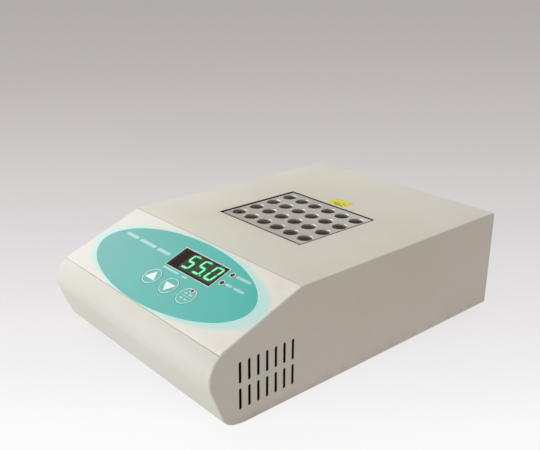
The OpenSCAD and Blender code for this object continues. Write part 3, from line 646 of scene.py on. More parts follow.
def display_face():
    """Dark reflector face, lit green round the burning segments."""
    mat = Material("display_face")
    glow = mat.signal("Attribute", output="Fac", attribute_name="glow")
    fine = mat.noise(scale=1.4)
    colour = mat.mix(fine.step(), (70, 55, 48), (78, 61, 53))
    colour = mat.mix(glow.step(0.02, 0.22), colour, (3, 12, 7))
    rough = 0.5 + fine * 0.12 + 0.15
    normal = mat.bump(fine, depth=0.002, strength=0.2)
    return mat.surface(colour, rough, normal, spec=0.0, emission=(18, 150, 88),
                       glow=glow * 1.0)


def segment_lit():
    mat = Material("segment_lit")
    fine = mat.noise(scale=1.1, detail=2, rough=0.5)
    emission = mat.mix(fine.step(), (126, 238, 194), (144, 250, 210))
    normal = mat.bump(fine, depth=0.01, strength=0.3)
    return mat.surface((120, 220, 160), 0.3 + fine * 0.1, normal, emission=emission, glow=0.92)


def segment_unlit():
    mat = Material("segment_unlit")
    fine = mat.noise(scale=1.1, detail=2, rough=0.5)
    colour = mat.mix(fine.step(), (20, 32, 22), (26, 40, 28))
    return mat.surface(colour, 0.4 + fine * 0.1, mat.bump(fine, depth=0.01, strength=0.3))


# ---------------------------------------------------------------- materials of inner parts
def circuit_board():
    """Glass-epoxy board: green mask over routed copper, lighter at the cut edges."""
    mat = Material("glass_epoxy_board")
    bricks = mat.node("TexBrick", {
        "Vector": mat.vector("MULTIPLY", {0: mat.position(), 1: (0.35, 0.35, 0.35)}),
        "Scale": 1.0, "Mortar Size": 0.06, "Mortar Smooth": 0.1, "Brick Width": 2.6,
        "Row Height": 0.62, "Color1": (22, 96, 58), "Color2": (26, 104, 62),
        "Mortar": (50, 138, 84)})
    routed, gaps = (Signal(mat, bricks.outputs[key]) for key in ("Color", "Fac"))
    plain = mat.noise(scale=0.05, detail=2, rough=0.5).step(0.45, 0.55)
    colour = mat.tint(routed, (24, 100, 60), plain, amount=1.0)
    colour = mat.tint(colour, (176, 168, 118), mat.edge(0.3), amount=0.5)
    colour = mat.tint(colour, (14, 70, 42), mat.noise(scale=0.9).step(0.5, 0.8), amount=0.2)
    rough = 0.28 + mat.noise(scale=0.6) * 0.16
    normal = mat.bump(gaps, depth=0.03, strength=0.5, radius=0.12)
    return mat.surface(colour, rough, normal, coat=0.25, coat_rough=0.2)


def glass_fibre_felt():
    """Needled glass-fibre felt: tangled strands and needle dimples."""
    mat = Material("glass_fibre_felt")
    base = linear((222, 206, 160))
    along_x = mat.noise(scale=1.0, detail=4, rough=0.7, at=mat.stretch(0.5, 3.2, 1.1),
                        distortion=1.2)
    along_y = mat.noise(scale=1.0, detail=4, rough=0.7, at=mat.stretch(2.9, 0.5, 1.3),
                        distortion=1.0)
    strands = along_x.larger(along_y)
    cloud = mat.noise(scale=0.05, detail=4)
    off_dimple = mat.cells(scale=0.28).step(0.0, 0.28)
    colour = mat.mix(cloud.step(), shade(base, 0.86), base)
    colour = mat.mix(strands.step(0.45, 0.75), colour, shade(base, 1.22))
    # painted shade: darker in the needle dimples
    colour = mat.tint(colour, shade(base, 0.6), 1.0 - off_dimple, amount=0.5)
    normal = mat.bump(strands * 0.7 + off_dimple * 0.6, depth=0.25, strength=0.9)
    return mat.surface(colour, 0.82 + strands * 0.12, normal, spec=0.2, sheen=0.5)


def fuse_glass_and_caps():
    """Glass tube fuses lying along Y, with plated caps at both ends."""
    mat = Material("fuse_glass_and_caps")
    low, high = box_mm("fuses")
    cap = abs(mat.xyz()[1] - (low[1] + high[1]) / 2).step(4.95, 5.05)
    fine = mat.noise(scale=0.8)
    plating = mat.mix(fine.step(), (186, 186, 184), (214, 213, 208))
    plating = mat.tint(plating, (236, 236, 232), mat.edge(0.25), amount=0.4)
    plated = mat.bsdf(plating, 0.22 + fine * 0.15,
                      mat.bump(fine, depth=0.01, strength=0.4, radius=0.15), metal=1.0)
    glass = mat.bsdf(mat.mix(fine, (205, 220, 214), (225, 232, 228)), 0.05 + fine * 0.05,
                     mat.bump(fine, depth=0.008, strength=0.3, radius=0.15),
                     coat=1.0, coat_rough=0.04, spec=0.6)
    return mat.done(mat.mix_shaders(cap, glass, plated))


def taped_winding():
    """Overlapping turns of amber tape."""
    mat = Material("taped_winding")
    z = mat.xyz()[2]
    wobble = mat.noise(scale=0.2, rough=0.5)
    turns = (z * 2.4 + wobble * 1.6).sine().step(-0.6, 0.9)
    colour = mat.mix(turns, (148, 92, 34), (196, 136, 58))
    colour = mat.tint(colour, (118, 62, 26), mat.noise(scale=1.4).step(0.5, 0.8), amount=0.3)
    colour = mat.tint(colour, (224, 176, 110), mat.edge(0.3), amount=0.4)
    normal = mat.bump(turns, depth=0.06, strength=0.6, radius=0.15)
    return mat.surface(colour, 0.28 + wobble * 0.15, normal, coat=0.35, coat_rough=0.15)


def varnished_laminations():
    """Varnished steel laminations, stacked front to back."""
    mat = Material("varnished_laminations")
    sheets = (mat.xyz()[1] * 12.0).sine().step(0.2, 0.9)
    cloud = mat.noise(scale=0.3, detail=4)
    colour = mat.mix(sheets, (92, 84, 76), (54, 48, 44))
    colour = mat.tint(colour, (104, 74, 50), cloud.step(0.5, 0.75), amount=0.4)
    colour = mat.tint(colour, (150, 146, 140), mat.edge(0.3), amount=0.4)
    normal = mat.bump(sheets, depth=0.03, strength=0.6, radius=0.12)
    return mat.surface(colour, 0.32 + cloud * 0.2, normal, metal=0.6, coat=0.3,
                       coat_rough=0.2)


def ribbon_cable_grey():
    """Flat cable: parallel ribs across its width, the low-X edge marked red."""
    mat = Material("ribbon_cable_grey")
    wire_pitch = 1.27
    x = mat.xyz()[0]
    rib = abs((x * (math.pi / wire_pitch)).sine())
    edge_x = box_mm("ribbon_cable")[0][0]
    # painted shade: darker in the grooves between the wires
    colour = mat.mix(rib.step(0.0, 0.35), (96, 96, 100), (158, 158, 162))
    colour = mat.mix(x.step(edge_x + 1.35, edge_x + 1.2), colour, (166, 52, 44))
    cloud = mat.noise(scale=0.4)
    colour = mat.tint(colour, (128, 128, 130), cloud.step(0.4, 0.8), amount=0.2)
    normal = mat.bump(rib, depth=0.12, strength=0.8, radius=0.1)
    return mat.surface(colour, 0.42 + cloud * 0.12, normal, spec=0.4)


# ---------------------------------------------------------------- materials of the CAD nodes
# parts, material name, colour, roughness, grain scale, grain depth, mottling, wear,
# worn colour (None: lighter than the colour), edge radius, other settings
PLASTICS = (
    ("power_inlet fuse_drawer switch_frame", "black_moulding",
     (30, 30, 31), 0.48, 1.8, 0.010, 0.10, 0.45, (92, 92, 92), 0.30, dict(dust=0.10)),
    ("power_rocker", "rocker_moulding",
     (22, 22, 23), 0.36, 2.2, 0.006, 0.08, 0.50, (88, 88, 88), 0.35, {}),
    ("rubber_feet", "foot_rubber",
     (34, 33, 32), 0.72, 1.2, 0.030, 0.12, 0.50, (84, 80, 76), 0.50, dict(spec=0.3, dust=0.2)),
    ("rear_panel", "powder_coat",
     (201, 197, 187), 0.55, 1.1, 0.030, 0.05, 0.35, (150, 148, 144), 0.35, dict(seed=5)),
    ("digit_display", "display_shell",
     (96, 76, 66), 0.62, 2.0, 0.002, 0.06, 0.15, (112, 90, 78), 0.20, dict(spec=0.1)),
    ("tact_switches", "switch_body",
     (40, 40, 42), 0.45, 2.0, 0.006, 0.10, 0.40, (110, 110, 110), 0.15, {}),
    ("heater_mat", "silicone_mat",
     (196, 96, 48), 0.60, 0.9, 0.050, 0.08, 0.30, (220, 150, 100), 0.40, dict(spec=0.35)),
    ("plate_standoffs", "steatite",
     (214, 208, 190), 0.50, 1.3, 0.020, 0.05, 0.30, None, 0.30, {}),
    ("thermal_cutout", "cutout_bakelite",
     (44, 38, 34), 0.38, 1.4, 0.010, 0.12, 0.40, (96, 84, 74), 0.30, {}),
    ("well_liner", "liner_paint",
     (46, 46, 47), 0.50, 1.2, 0.020, 0.10, 0.45, (120, 120, 120), 0.35, {}),
    ("triac", "triac_moulding",
     (34, 34, 36), 0.42, 1.8, 0.010, 0.10, 0.30, (86, 86, 86), 0.20, {}),
    ("terminal_block", "terminal_nylon",
     (226, 222, 208), 0.42, 1.5, 0.010, 0.04, 0.30, None, 0.30, {}),
    ("filter_capacitor", "capacitor_box",
     (218, 176, 44), 0.30, 1.8, 0.006, 0.05, 0.30, None, 0.30, dict(coat=0.3)),
    ("control_chip", "chip_package",
     (36, 36, 38), 0.50, 2.0, 0.008, 0.08, 0.30, (90, 90, 92), 0.15, {}),
    ("board_connectors", "connector_nylon",
     (222, 219, 206), 0.40, 1.6, 0.008, 0.04, 0.30, None, 0.25, {}),
)

# parts, material name, colour, roughness, brush stretch, brush depth, mottling, wear,
# other settings
METALS = (
    ("foot_screws base_screws rear_panel_screws display_board_screws clamp_screws "
     "inlet_screws board_screws strap_screws heatsink_screws", "zinc_plated_screw",
     (176, 176, 176), 0.34, (2, 2, 9), 0.004, 0.06, 0.50, dict(edge_radius=0.15)),
    ("heater_plate", "milled_aluminium",
     (190, 190, 190), 0.36, (0.3, 6, 6), 0.006, 0.05, 0.40, {}),
    ("clamp_plate", "bare_sheet",
     (172, 175, 178), 0.36, (0.3, 5, 5), 0.004, 0.06, 0.40, {}),
    ("inlet_pins switch_terminals earth_stud", "nickel_plated_brass",
     (202, 190, 150), 0.26, (3, 3, 8), 0.003, 0.06, 0.50,
     dict(edge_radius=0.15, tarnish=(166, 140, 92))),
    ("base_plate", "base_plate_zinc",
     (160, 163, 165), 0.45, (0.25, 4, 4), 0.004, 0.10, 0.35, dict(seed=11)),
    ("block_base", "base_aluminium",
     (190, 188, 182), 0.42, (0.3, 6, 6), 0.006, 0.05, 0.40, dict(seed=3)),
    ("temperature_sensor", "stainless_probe",
     (186, 187, 188), 0.24, (9, 0.6, 9), 0.003, 0.05, 0.30, dict(edge_radius=0.2)),
    ("board_standoffs", "brass_pillar",
     (206, 178, 104), 0.26, (4, 4, 4), 0.003, 0.05, 0.50,
     dict(edge_radius=0.2, tarnish=(150, 116, 60))),
    ("transformer_strap", "strap_zinc",
     (178, 178, 176), 0.38, (0.4, 5, 5), 0.004, 0.06, 0.40, dict(seed=7)),
    ("triac_heatsink", "black_anodised",
     (42, 42, 44), 0.40, (0.5, 0.5, 7), 0.008, 0.10, 0.70,
     dict(edge_radius=0.25, metallic=0.7)),
)

teal = teal_film()
white_ink = plain_film("film_white", (236, 246, 242), (220, 238, 233))
bar_ink = plain_film("film_bar", (170, 216, 212), (156, 208, 203))
board = circuit_board()

part_materials = {
    "top_housing": case_moulding(),
    "keypad_overlay": overlay_film(),
    "up_key": teal, "down_key": teal, "set_key": teal,
    "display_window": smoked_acrylic(),
    "heating_block": block_anodised(),
    "hot_surface_label": label("label_yellow_vinyl", (240, 226, 40)),
    "rating_plate": label("label_grey_vinyl", (204, 204, 202)),
    "set_key_lens": lens("lens_magenta", (140, 20, 96), glow=0.10, glow_rgb=(170, 20, 100)),
    "heating_led": lens("lens_red", (120, 24, 40), glow=0.04, glow_rgb=(190, 40, 50)),
    "set_temp_led": lens("lens_dark", (36, 58, 60)),
    "display_board": board, "control_board": board,
    "fuses": fuse_glass_and_caps(),
    "transformer_core": varnished_laminations(),
    "transformer_coil": taped_winding(),
    "mains_wires": wire("wire_pvc_blue", (40, 62, 128)),
    "heater_leads": wire("wire_silicone_red", (150, 44, 34)),
    "ribbon_cable": ribbon_cable_grey(),
}
for make, table in ((plastic, PLASTICS), (metal, METALS)):
    for parts, *values, settings in table:
        made = make(*values, **settings)
        part_materials.update((part, made) for part in parts.split())


# ---------------------------------------------------------------- smooth shading
def smoothing_group(name, angle):
    """Geometry nodes that shade smoothly across edges shallower than the angle."""
    tree = bpy.data.node_groups.new(name, "GeometryNodeTree")
    for way in ("INPUT", "OUTPUT"):
        tree.interface.new_socket("Geometry", in_out=way, socket_type="NodeSocketGeometry")
    start = tree.nodes.new("NodeGroupInput")
    end = tree.nodes.new("NodeGroupOutput")
    merge = tree.nodes.new("GeometryNodeMergeByDistance")
    merge.inputs["Distance"].default_value = 2e-6      # metres
    all_smooth = tree.nodes.new("GeometryNodeSetShadeSmooth")
    all_smooth.domain = "FACE"
    sharp_edges = tree.nodes.new("GeometryNodeSetShadeSmooth")
    sharp_edges.domain = "EDGE"
    sharp_edges.inputs["Shade Smooth"].default_value = False
    edge_angle = tree.nodes.new("GeometryNodeInputMeshEdgeAngle")
    steeper = tree.nodes.new("FunctionNodeCompare")
    steeper.data_type = "FLOAT"
    steeper.operation = "GREATER_THAN"
    steeper.inputs[1].default_value = angle
    for source, target in (
            (start.outputs[0], merge.inputs[0]),
            (merge.outputs[0], all_smooth.inputs["Geometry"]),
            (all_smooth.outputs[0], sharp_edges.inputs["Geometry"]),
            (edge_angle.outputs["Unsigned Angle"], steeper.inputs[0]),
            (steeper.outputs[0], sharp_edges.inputs["Selection"]),
            (sharp_edges.outputs[0], end.inputs[0])):
        tree.links.new(source, target)
    return tree


smoothing = smoothing_group("smooth_shallow", angle=math.radians(24))
for part, obj in nodes.items():
    if part in part_materials:
        obj.data.materials.clear()
        obj.data.materials.append(part_materials[part])
    own_normals = obj.data.attributes.get("custom_normal")
    if own_normals is not None:
        obj.data.attributes.remove(own_normals)
    obj.modifiers.new("smooth_shallow", "NODES").node_group = smoothing


# ---------------------------------------------------------------- outlines and thin solids
def circle(x, y, radius, count, radius_y=None):
    radius_y = radius_y or radius
    turns = [2 * math.pi * k / count for k in range(count)]
    return [(x + radius * math.cos(a), y + radius_y * math.sin(a)) for a in turns]


def rectangle(x_range, y_range, margin):
    """Rectangle that stands a margin outside two ranges."""
    x0, x1 = x_range[0] - margin, x_range[1] + margin
    y0, y1 = y_range[0] - margin, y_range[1] + margin
    return [(x0, y0), (x1, y0), (x1, y1), (x0, y1)]


def pill(x0, y0, x1, y1, steps, skew=0.0):
    """Bar with round ends, leaning by skew; steps per quarter turn."""
    radius = min(x1 - x0, y1 - y0) / 2
    middle = (y0 + y1) / 2
    corners = ((x1 - radius, y1 - radius, 0), (x0 + radius, y1 - radius, 90),
               (x0 + radius, y0 + radius, 180), (x1 - radius, y0 + radius, 270))
    outline = []
    for centre_x, centre_y, start in corners:
        for k in range(steps + 1):
            angle = math.radians(start + 90 * k / steps)
            x = centre_x + radius * math.cos(angle)
            y = centre_y + radius * math.sin(angle)
            point = (x + (y - middle) * skew, y)
            if not outline or not same_point(point, outline[-1]):
                outline.append(point)
    if same_point(outline[0], outline[-1]):
        outline.pop()
    return outline


def same_point(a, b):
    return abs(a[0] - b[0]) + abs(a[1] - b[1]) <= 1e-5


def inside(outline, x, y):
    """Which of the points (arrays x, y) lie inside the outline."""
    result = np.zeros(len(x), bool)
    corners = np.array(outline)
    for (x0, y0), (x1, y1) in zip(corners, np.roll(corners, -1, axis=0)):
        if y0 == y1:
            continue
        result ^= ((y0 > y) != (y1 > y)) & (x < (x1 - x0) * (y - y0) / (y1 - y0) + x0)
    return result


def in_region(x, y, outer, holes):
    keep = inside(outer, x, y)
    for hole in holes:
        keep &= ~inside(hole, x, y)
    return keep


def triangulate(outer, holes, grid):
    """Points and triangles of a flat region; a grid adds points so it can follow a curve."""
    points, edges = [], []
    for loop in (outer, *holes):
        first = len(points)
        points += [Vector(p) for p in loop]
        edges += [(first + k, first + (k + 1) % len(loop)) for k in range(len(loop))]
    if grid:
        grid_x, grid_y = (axis.ravel() for axis in np.meshgrid(*grid))
        keep = in_region(grid_x, grid_y, outer, holes)
        border = np.array([tuple(p) for p in points])
        for x, y in zip(grid_x[keep], grid_y[keep]):
            # grid points nearer than 0.2 mm to an outline point would make slivers
            if np.min((border[:, 0] - x) ** 2 + (border[:, 1] - y) ** 2) > 0.04:
                points.append(Vector((x, y)))
    result = geometry.delaunay_2d_cdt(points, edges, [], 0, 1e-6)
    flat = np.array([tuple(p) for p in result[0]])
    triangles = np.array(result[2])
    centres = flat[triangles].mean(1)
    return flat, triangles[in_region(centres[:, 0], centres[:, 1], outer, holes)]


def thicken(sheets, back, front, place):
    """Closed thin solids between two levels, from sheets of points and triangles."""
    verts, faces = [], []
    for points, triangles in sheets:
        used = sorted(set(triangles.ravel().tolist()))
        index = {old: new for new, old in enumerate(used)}
        count = len(used)
        first = len(verts)
        for level in (front, back):
            verts += [place(points[k][0], points[k][1], level) for k in used]
        sides = {}
        for triangle in triangles:
            side_a = points[triangle[1]] - points[triangle[0]]
            side_b = points[triangle[2]] - points[triangle[0]]
            corners = [index[int(k)] for k in triangle]
            if side_a[0] * side_b[1] - side_a[1] * side_b[0] < 0:
                corners = corners[::-1]
            faces.append([first + k for k in corners])
            faces.append([first + count + k for k in corners[::-1]])
            for k in range(3):
                sides[(corners[k], corners[(k + 1) % 3])] = True
        # a side used by one triangle only is on the rim
        for p, q in sides:
            if (q, p) not in sides:
                faces.append([first + q, first + p, first + count + p, first + count + q])
    return verts, faces


def add_mesh(name, verts, faces, material, body):
    mesh = bpy.data.meshes.new(name)
    mesh.from_pydata([tuple(v) for v in verts], [], faces)
    mesh.validate(clean_customdata=False)
    work = bmesh.new()
    work.from_mesh(mesh)
    bmesh.ops.recalc_face_normals(work, faces=work.faces)
    for face in work.faces:
        face.smooth = False
    work.to_mesh(mesh)
    work.free()
    mesh.materials.append(material)
    obj = bpy.data.objects.new(name, mesh)
    objects.link(obj)
    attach(obj, body)
    return obj


def ink(name, regions, levels, material, body="case", grid=None,
        place=on_panel):
    """A printed layer between two levels; regions are pairs of an outline and its holes."""
    sheets = [triangulate(outer, holes, grid) for outer, holes in regions]
    verts, faces = thicken(sheets, *levels, place)
    return add_mesh(name, verts, faces, material, body)


# ---------------------------------------------------------------- printed panel
KEY_UP, KEY_RADIUS = 24.0, 8.1
KEY_X, KEY_PITCH = 12.8, 21.45          # the middle key, and the step to its neighbours
KEYS = {"up_key": KEY_X - KEY_PITCH, "down_key": KEY_X, "set_key": KEY_X + KEY_PITCH}
LEDS = ((47.4, 56.1), (46.7, 46.8))     # x, up
PRINT_LEVELS = (0.03, 0.10)
# bars that stand for words: x from, x to, middle, height
PANEL_BARS = (
    (-76.8, -60.2, 46.9, 3.0), (-57.6, -35.8, 46.9, 3.0), (-33.2, -16.6, 46.9, 3.0),
    (-10.6, 8.6, 36.0, 1.7), (13.2, 19.2, 36.0, 1.7),
    (51.6, 67.0, 56.4, 2.3), (50.6, 57.4, 47.1, 2.3), (59.4, 70.0, 47.1, 2.3))

oval = [(OVAL_X + x - y * OVAL_TILT, max(OVAL_UP + y + x * OVAL_TILT, 0.25))
        for x, y in circle(0, 0, OVAL_HALF_X, 360, OVAL_HALF_UP)]
openings = [rectangle(WINDOW_X, WINDOW_UP, 0.12)]
openings += [circle(x, up, 1.9, 32) for x, up in LEDS]
openings += [circle(x, KEY_UP, KEY_RADIUS + 0.17, 64) for x in KEYS.values()]
ink("panel_oval", [(oval, openings)], (-0.02, 0.07), teal,
    grid=(np.arange(-90, 90, 3.0), np.arange(1.0, FLAT_UP + 1.2, 0.9)))

outlines = [(rectangle(WINDOW_X, WINDOW_UP, 0.62), [rectangle(WINDOW_X, WINDOW_UP, 0.14)])]
outlines += [(circle(x, up, 2.45, 40), [circle(x, up, 1.95, 40)]) for x, up in LEDS]
ink("panel_outlines", outlines, PRINT_LEVELS, white_ink)
ink("panel_bars",
    [(pill(x0, middle - height / 2, x1, middle + height / 2, steps=5, skew=0.2), [])
     for x0, x1, middle, height in PANEL_BARS], PRINT_LEVELS, bar_ink)

# ---------------------------------------------------------------- printed keys
CAP_OUT = 0.15                          # the key caps stand this far out
KEY_LEVELS = (CAP_OUT - 0.01, CAP_OUT + 0.06)
RING_OUTER, RING_INNER = 7.78, 7.22
RING_GAP = 17                           # half of the set key's ring gap, degrees
LENS_UP = 5.7                           # set key's lens over the key's centre
# arrow corners from the key's centre
ARROWS = {"up_key": ((-5.75, -2.6), (5.75, -2.6), (0, 5.5)),
          "down_key": ((-5.75, 2.4), (0, -5.7), (5.75, 2.4))}
# bars on the set key from its centre: x from, x to, middle
SET_KEY_BARS = ((-4.6, -0.9, 1.9), (0.6, 4.8, 1.9), (-4.2, -0.4, -3.0), (1.0, 4.2, -3.0))


def open_ring(x, y):
    """Ring broken at its top, where the lens sits."""
    start, end = math.radians(90 + RING_GAP), math.radians(450 - RING_GAP)
    angles = [start + (end - start) * k / 64 for k in range(65)]
    return [(x + radius * math.cos(angle), y + radius * math.sin(angle))
            for radius, order in ((RING_OUTER, angles), (RING_INNER, angles[::-1]))
            for angle in order]


for key, x in KEYS.items():
    if key in ARROWS:
        ring = (circle(x, KEY_UP, RING_OUTER, 72), [circle(x, KEY_UP, RING_INNER, 72)])
        arrow = [(x + dx, KEY_UP + dy) for dx, dy in ARROWS[key]]
        ink(key + "_print", [ring, (arrow, [])], KEY_LEVELS, white_ink, key)
    else:
        lens_ring = (circle(x, KEY_UP + LENS_UP, 2.05, 40),
                     [circle(x, KEY_UP + LENS_UP, 1.42, 32)])
        ink(key + "_print", [(open_ring(x, KEY_UP), []), lens_ring], KEY_LEVELS, white_ink,
            key)
        rule = rectangle((x - 5.4, x + 5.4), (KEY_UP - 0.75, KEY_UP - 0.35), 0)
        bars = [pill(x + x0, KEY_UP + middle - 0.7, x + x1, KEY_UP + middle + 0.7, steps=4,
                     skew=0.2) for x0, x1, middle in SET_KEY_BARS]
        ink(key + "_bars", [(bar, []) for bar in (rule, *bars)], KEY_LEVELS, bar_ink,
            key)

# ---------------------------------------------------------------- three-digit display
DISPLAY_X, DISPLAY_UP = 18.9, 49.6      # module centre
WELL_FLOOR = -1.0                       # floor of the digit wells, out from the panel
DIGIT_UP = 50.75
DIGIT_PITCH = 12.8
HALF_DIGIT_X, HALF_DIGIT_UP = 7.1 / 2, 13.4 / 2
DIGIT_SHIFT = (-0.55, -0.1, 0.65)       # each digit's own shift along X
SEGMENT_HALF = 0.90                     # half of a segment's width
SEGMENT_GAP = 0.18
LEAN = math.tan(math.radians(6))
well_centres = [DISPLAY_X + (k - 1) * DIGIT_PITCH for k in range(3)]

# segment ends in half digits: x, up to x, up
SEGMENTS = {"a": (-1, 1, 1, 1), "b": (1, 1, 1, 0), "c": (1, 0, 1, -1), "d": (-1, -1, 1, -1),
            "e": (-1, 0, -1, -1), "f": (-1, 1, -1, 0), "g": (-1, 0, 1, 0)}
BURNING = ("afgcd", "afgcd", "abcdef")


def segment_outline(centre, x0, y0, x1, y1):
    """Six-cornered bar between two ends, leaning with the digit."""
    length = math.hypot(x1 - x0, y1 - y0)
    dir_x, dir_y = (x1 - x0) / length, (y1 - y0) / length
    gap, half = SEGMENT_GAP, SEGMENT_HALF
    outline = []
    for along, aside in ((gap, 0), (gap + half, half), (length - gap - half, half),
                         (length - gap, 0), (length - gap - half, -half),
                         (gap + half, -half)):
        x = x0 + dir_x * along - dir_y * aside
        y = y0 + dir_y * along + dir_x * aside
        outline.append((centre + x + y * LEAN, DIGIT_UP + y))
    return outline


lit, unlit, strokes = [], [], []
for well, shift, burning in zip(well_centres, DIGIT_SHIFT, BURNING):
    centre = well + shift
    for letter, ends in SEGMENTS.items():
        x0, y0, x1, y1 = (end * half for end, half in
                          zip(ends, (HALF_DIGIT_X, HALF_DIGIT_UP) * 2))
        region = (segment_outline(centre, x0, y0, x1, y1), [])
        if letter in burning:
            lit.append(region)
            strokes.append(((centre + x0 + y0 * LEAN, DIGIT_UP + y0),
                            (centre + x1 + y1 * LEAN, DIGIT_UP + y1)))
        else:
            unlit.append(region)
point_x = DISPLAY_X + DIGIT_SHIFT[1] + HALF_DIGIT_X + 1.55     # decimal point
point_up = DIGIT_UP - HALF_DIGIT_UP
lit.append((circle(point_x, point_up, 0.72, 24), []))
strokes.append(((point_x, point_up), (point_x + 0.01, point_up)))
ink("display_segments_lit", lit, (WELL_FLOOR + 0.03, WELL_FLOOR + 0.12), segment_lit())
ink("display_segments_unlit", unlit, (WELL_FLOOR + 0.03, WELL_FLOOR + 0.10),
    segment_unlit())


def glow_at(x, y):
    """Brightness that falls off with the distance to the nearest burning stroke."""
    nearest = 99.0
    for (x0, y0), (x1, y1) in strokes:
        squared = (x1 - x0) ** 2 + (y1 - y0) ** 2
        along = max(0.0, min(1.0, ((x - x0) * (x1 - x0) + (y - y0) * (y1 - y0)) / squared))
        nearest = min(nearest, math.hypot(x - x0 - along * (x1 - x0),
                                          y - y0 - along * (y1 - y0)))
    return math.exp(-max(0.0, nearest - 0.6) / 1.6)


def display_reflector():
    """Thin closed plates at the bottom of the three digit wells."""
    columns, rows = 41, 53
    half_x, half_up = 5.95, 7.6
    middle_up = DISPLAY_UP + 0.3
    thickness = 0.02
    verts, faces, glow = [], [], []
    for well in well_centres:
        first = len(verts)
        for up in np.linspace(middle_up - half_up, middle_up + half_up, rows):
            for x in np.linspace(well - half_x, well + half_x, columns):
                verts.append(on_panel(x, up, WELL_FLOOR + thickness))
                glow.append(glow_at(x, up))
        for row in range(rows - 1):
            for column in range(columns - 1):
                k = first + row * columns + column
                faces.append([k, k + 1, k + columns + 1, k + columns])
    # rims and backs
    inward = on_panel(0, 40, WELL_FLOOR) - on_panel(0, 40, WELL_FLOOR + thickness)
    for plate in range(3):
        first = plate * columns * rows
        last_row = first + (rows - 1) * columns
        rim = [first + k for k in range(columns)]
        rim += [first + k * columns + columns - 1 for k in range(1, rows)]
        rim += [last_row + k for k in range(columns - 2, -1, -1)]
        rim += [first + k * columns for k in range(rows - 2, 0, -1)]
        back = len(verts)
        verts += [verts[k] + inward for k in rim]
        count = len(rim)
        glow += [0.0] * count
        for k in range(count):
            after = (k + 1) % count
            faces.append([rim[k], back + k, back + after, rim[after]])
        faces.append([back + k for k in range(count)][::-1])
    plates = add_mesh("display_reflector", verts, faces, display_face(), "case")
    attribute = plates.data.attributes.new("glow", "FLOAT", "POINT")
    attribute.data.foreach_set("value", np.array(glow, np.float32))


display_reflector()

# ---------------------------------------------------------------- bars on the yellow label
label_low, label_high = box_mm("hot_surface_label")
label_x = (label_low[0] + label_high[0]) / 2
label_y = (label_low[1] + label_high[1]) / 2
# from the label's centre: x and y from, x and y to
LABEL_BARS = ((-2.4, -5.3, 7.6, -4.2), (-5.0, -2.9, 2.4, -1.7), (3.6, -0.6, 6.6, 0.4))


def on_label(x, y, out):
    return Vector((x, y, label_high[2] + out)) * MM


ink("label_bars",
    [(pill(label_x + x0, label_y + y0, label_x + x1, label_y + y1, steps=4), [])
     for x0, y0, x1, y1 in LABEL_BARS],
    (-0.01, 0.02), label("ink_dark", (92, 84, 40)), place=on_label)

# ---------------------------------------------------------------- marks on the rocker
ROCKER_TILT = math.radians(10)          # at rest
ROCKER_REACH = 9.2                      # from its pivot to its rearmost edge
pivot_y = box_mm("rear_panel")[1][1] - 2.5
pivot_z = UNDERSIDE + 34.0
rocker_low, rocker_high = box_mm("power_rocker")
rocker_x = (rocker_low[0] + rocker_high[0]) / 2
rearmost = cad_high.y * 1000 - pivot_y
rocker_face = ROCKER_REACH * math.cos(math.acos(rearmost / ROCKER_REACH) + ROCKER_TILT)


def on_rocker(x, z, out):
    y = rocker_face + out
    cosine, sine = math.cos(ROCKER_TILT), math.sin(ROCKER_TILT)
    return Vector((rocker_x + x, pivot_y + y * cosine - z * sine,
                   pivot_z + y * sine + z * cosine)) * MM


ink("rocker_marks",
    [(pill(-0.35, 2.2, 0.35, 5.8, steps=4), []),
     (circle(0, -2.3, 1.75, 40), [circle(0, -2.3, 1.2, 40)])],
    (-0.01, 0.05), label("rocker_print", (222, 222, 218)), "power_rocker",
    place=on_rocker)

# ---------------------------------------------------------------- soft insulation
FELT_VOXEL = 3.2
FELT_SHRINK = 1.1                       # taken off before the cloth swells
FELT_MAX_SWELL = 1.3
QUILT_PITCH, QUILT_PITCH_Z = 26.0, 19.0
# stiffness and pressure of the swelling cloth
CLOTH = dict(quality=4, mass=0.15, tension_stiffness=12, compression_stiffness=12,
             shear_stiffness=5, bending_stiffness=0.4, use_pressure=True,
             uniform_pressure_force=4.0)


def evaluated_mesh(obj):
    """Bake the object's modifiers into a new mesh and clear them."""
    depsgraph = bpy.context.evaluated_depsgraph_get()
    mesh = bpy.data.meshes.new_from_object(obj.evaluated_get(depsgraph))
    obj.modifiers.clear()
    return mesh


def swell(obj, start):
    """Blow the felt up as cloth; returns the mesh and its limited new places."""
    cloth = obj.modifiers.new("cloth", "CLOTH")
    for key, value in CLOTH.items():
        setattr(cloth.settings, key, value)
    cloth.settings.effector_weights.gravity = 0.0
    cloth.collision_settings.use_collision = False
    cloth.collision_settings.use_self_collision = False
    for number in range(1, 15):
        scene.frame_set(number)
    mesh = evaluated_mesh(obj)
    moved = np.array([v.co for v in mesh.vertices], float) - start
    length = np.linalg.norm(moved, axis=1, keepdims=True)
    places = start + moved * np.minimum(1.0, FELT_MAX_SWELL * MM / np.maximum(length, 1e-9))
    scene.frame_set(1)
    return mesh, places


def seam_distance(value, pitch):
    return abs(math.sin(math.pi * value / pitch))


def felt_relief(place, normal, seed):
    """Offset in mm: needle-felt lumps, and shallow quilting at the seams."""
    spot = Vector(place) * 1000
    lump = (noise.noise(spot * 0.11 + Vector((seed, 0, 0))) * 0.35
            + noise.noise(spot * 0.45 + Vector((0, seed, 0))) * 0.16)
    if abs(normal[2]) < 0.6:
        second = seam_distance(spot.z, QUILT_PITCH_Z)
    else:
        second = seam_distance(spot.y - NOSE_Y, QUILT_PITCH)
    quilt = min(seam_distance(spot.x, QUILT_PITCH), second)
    seam = -0.55 * math.exp(-(quilt / 0.16) ** 2)
    return lump * 0.8 + seam - 0.25


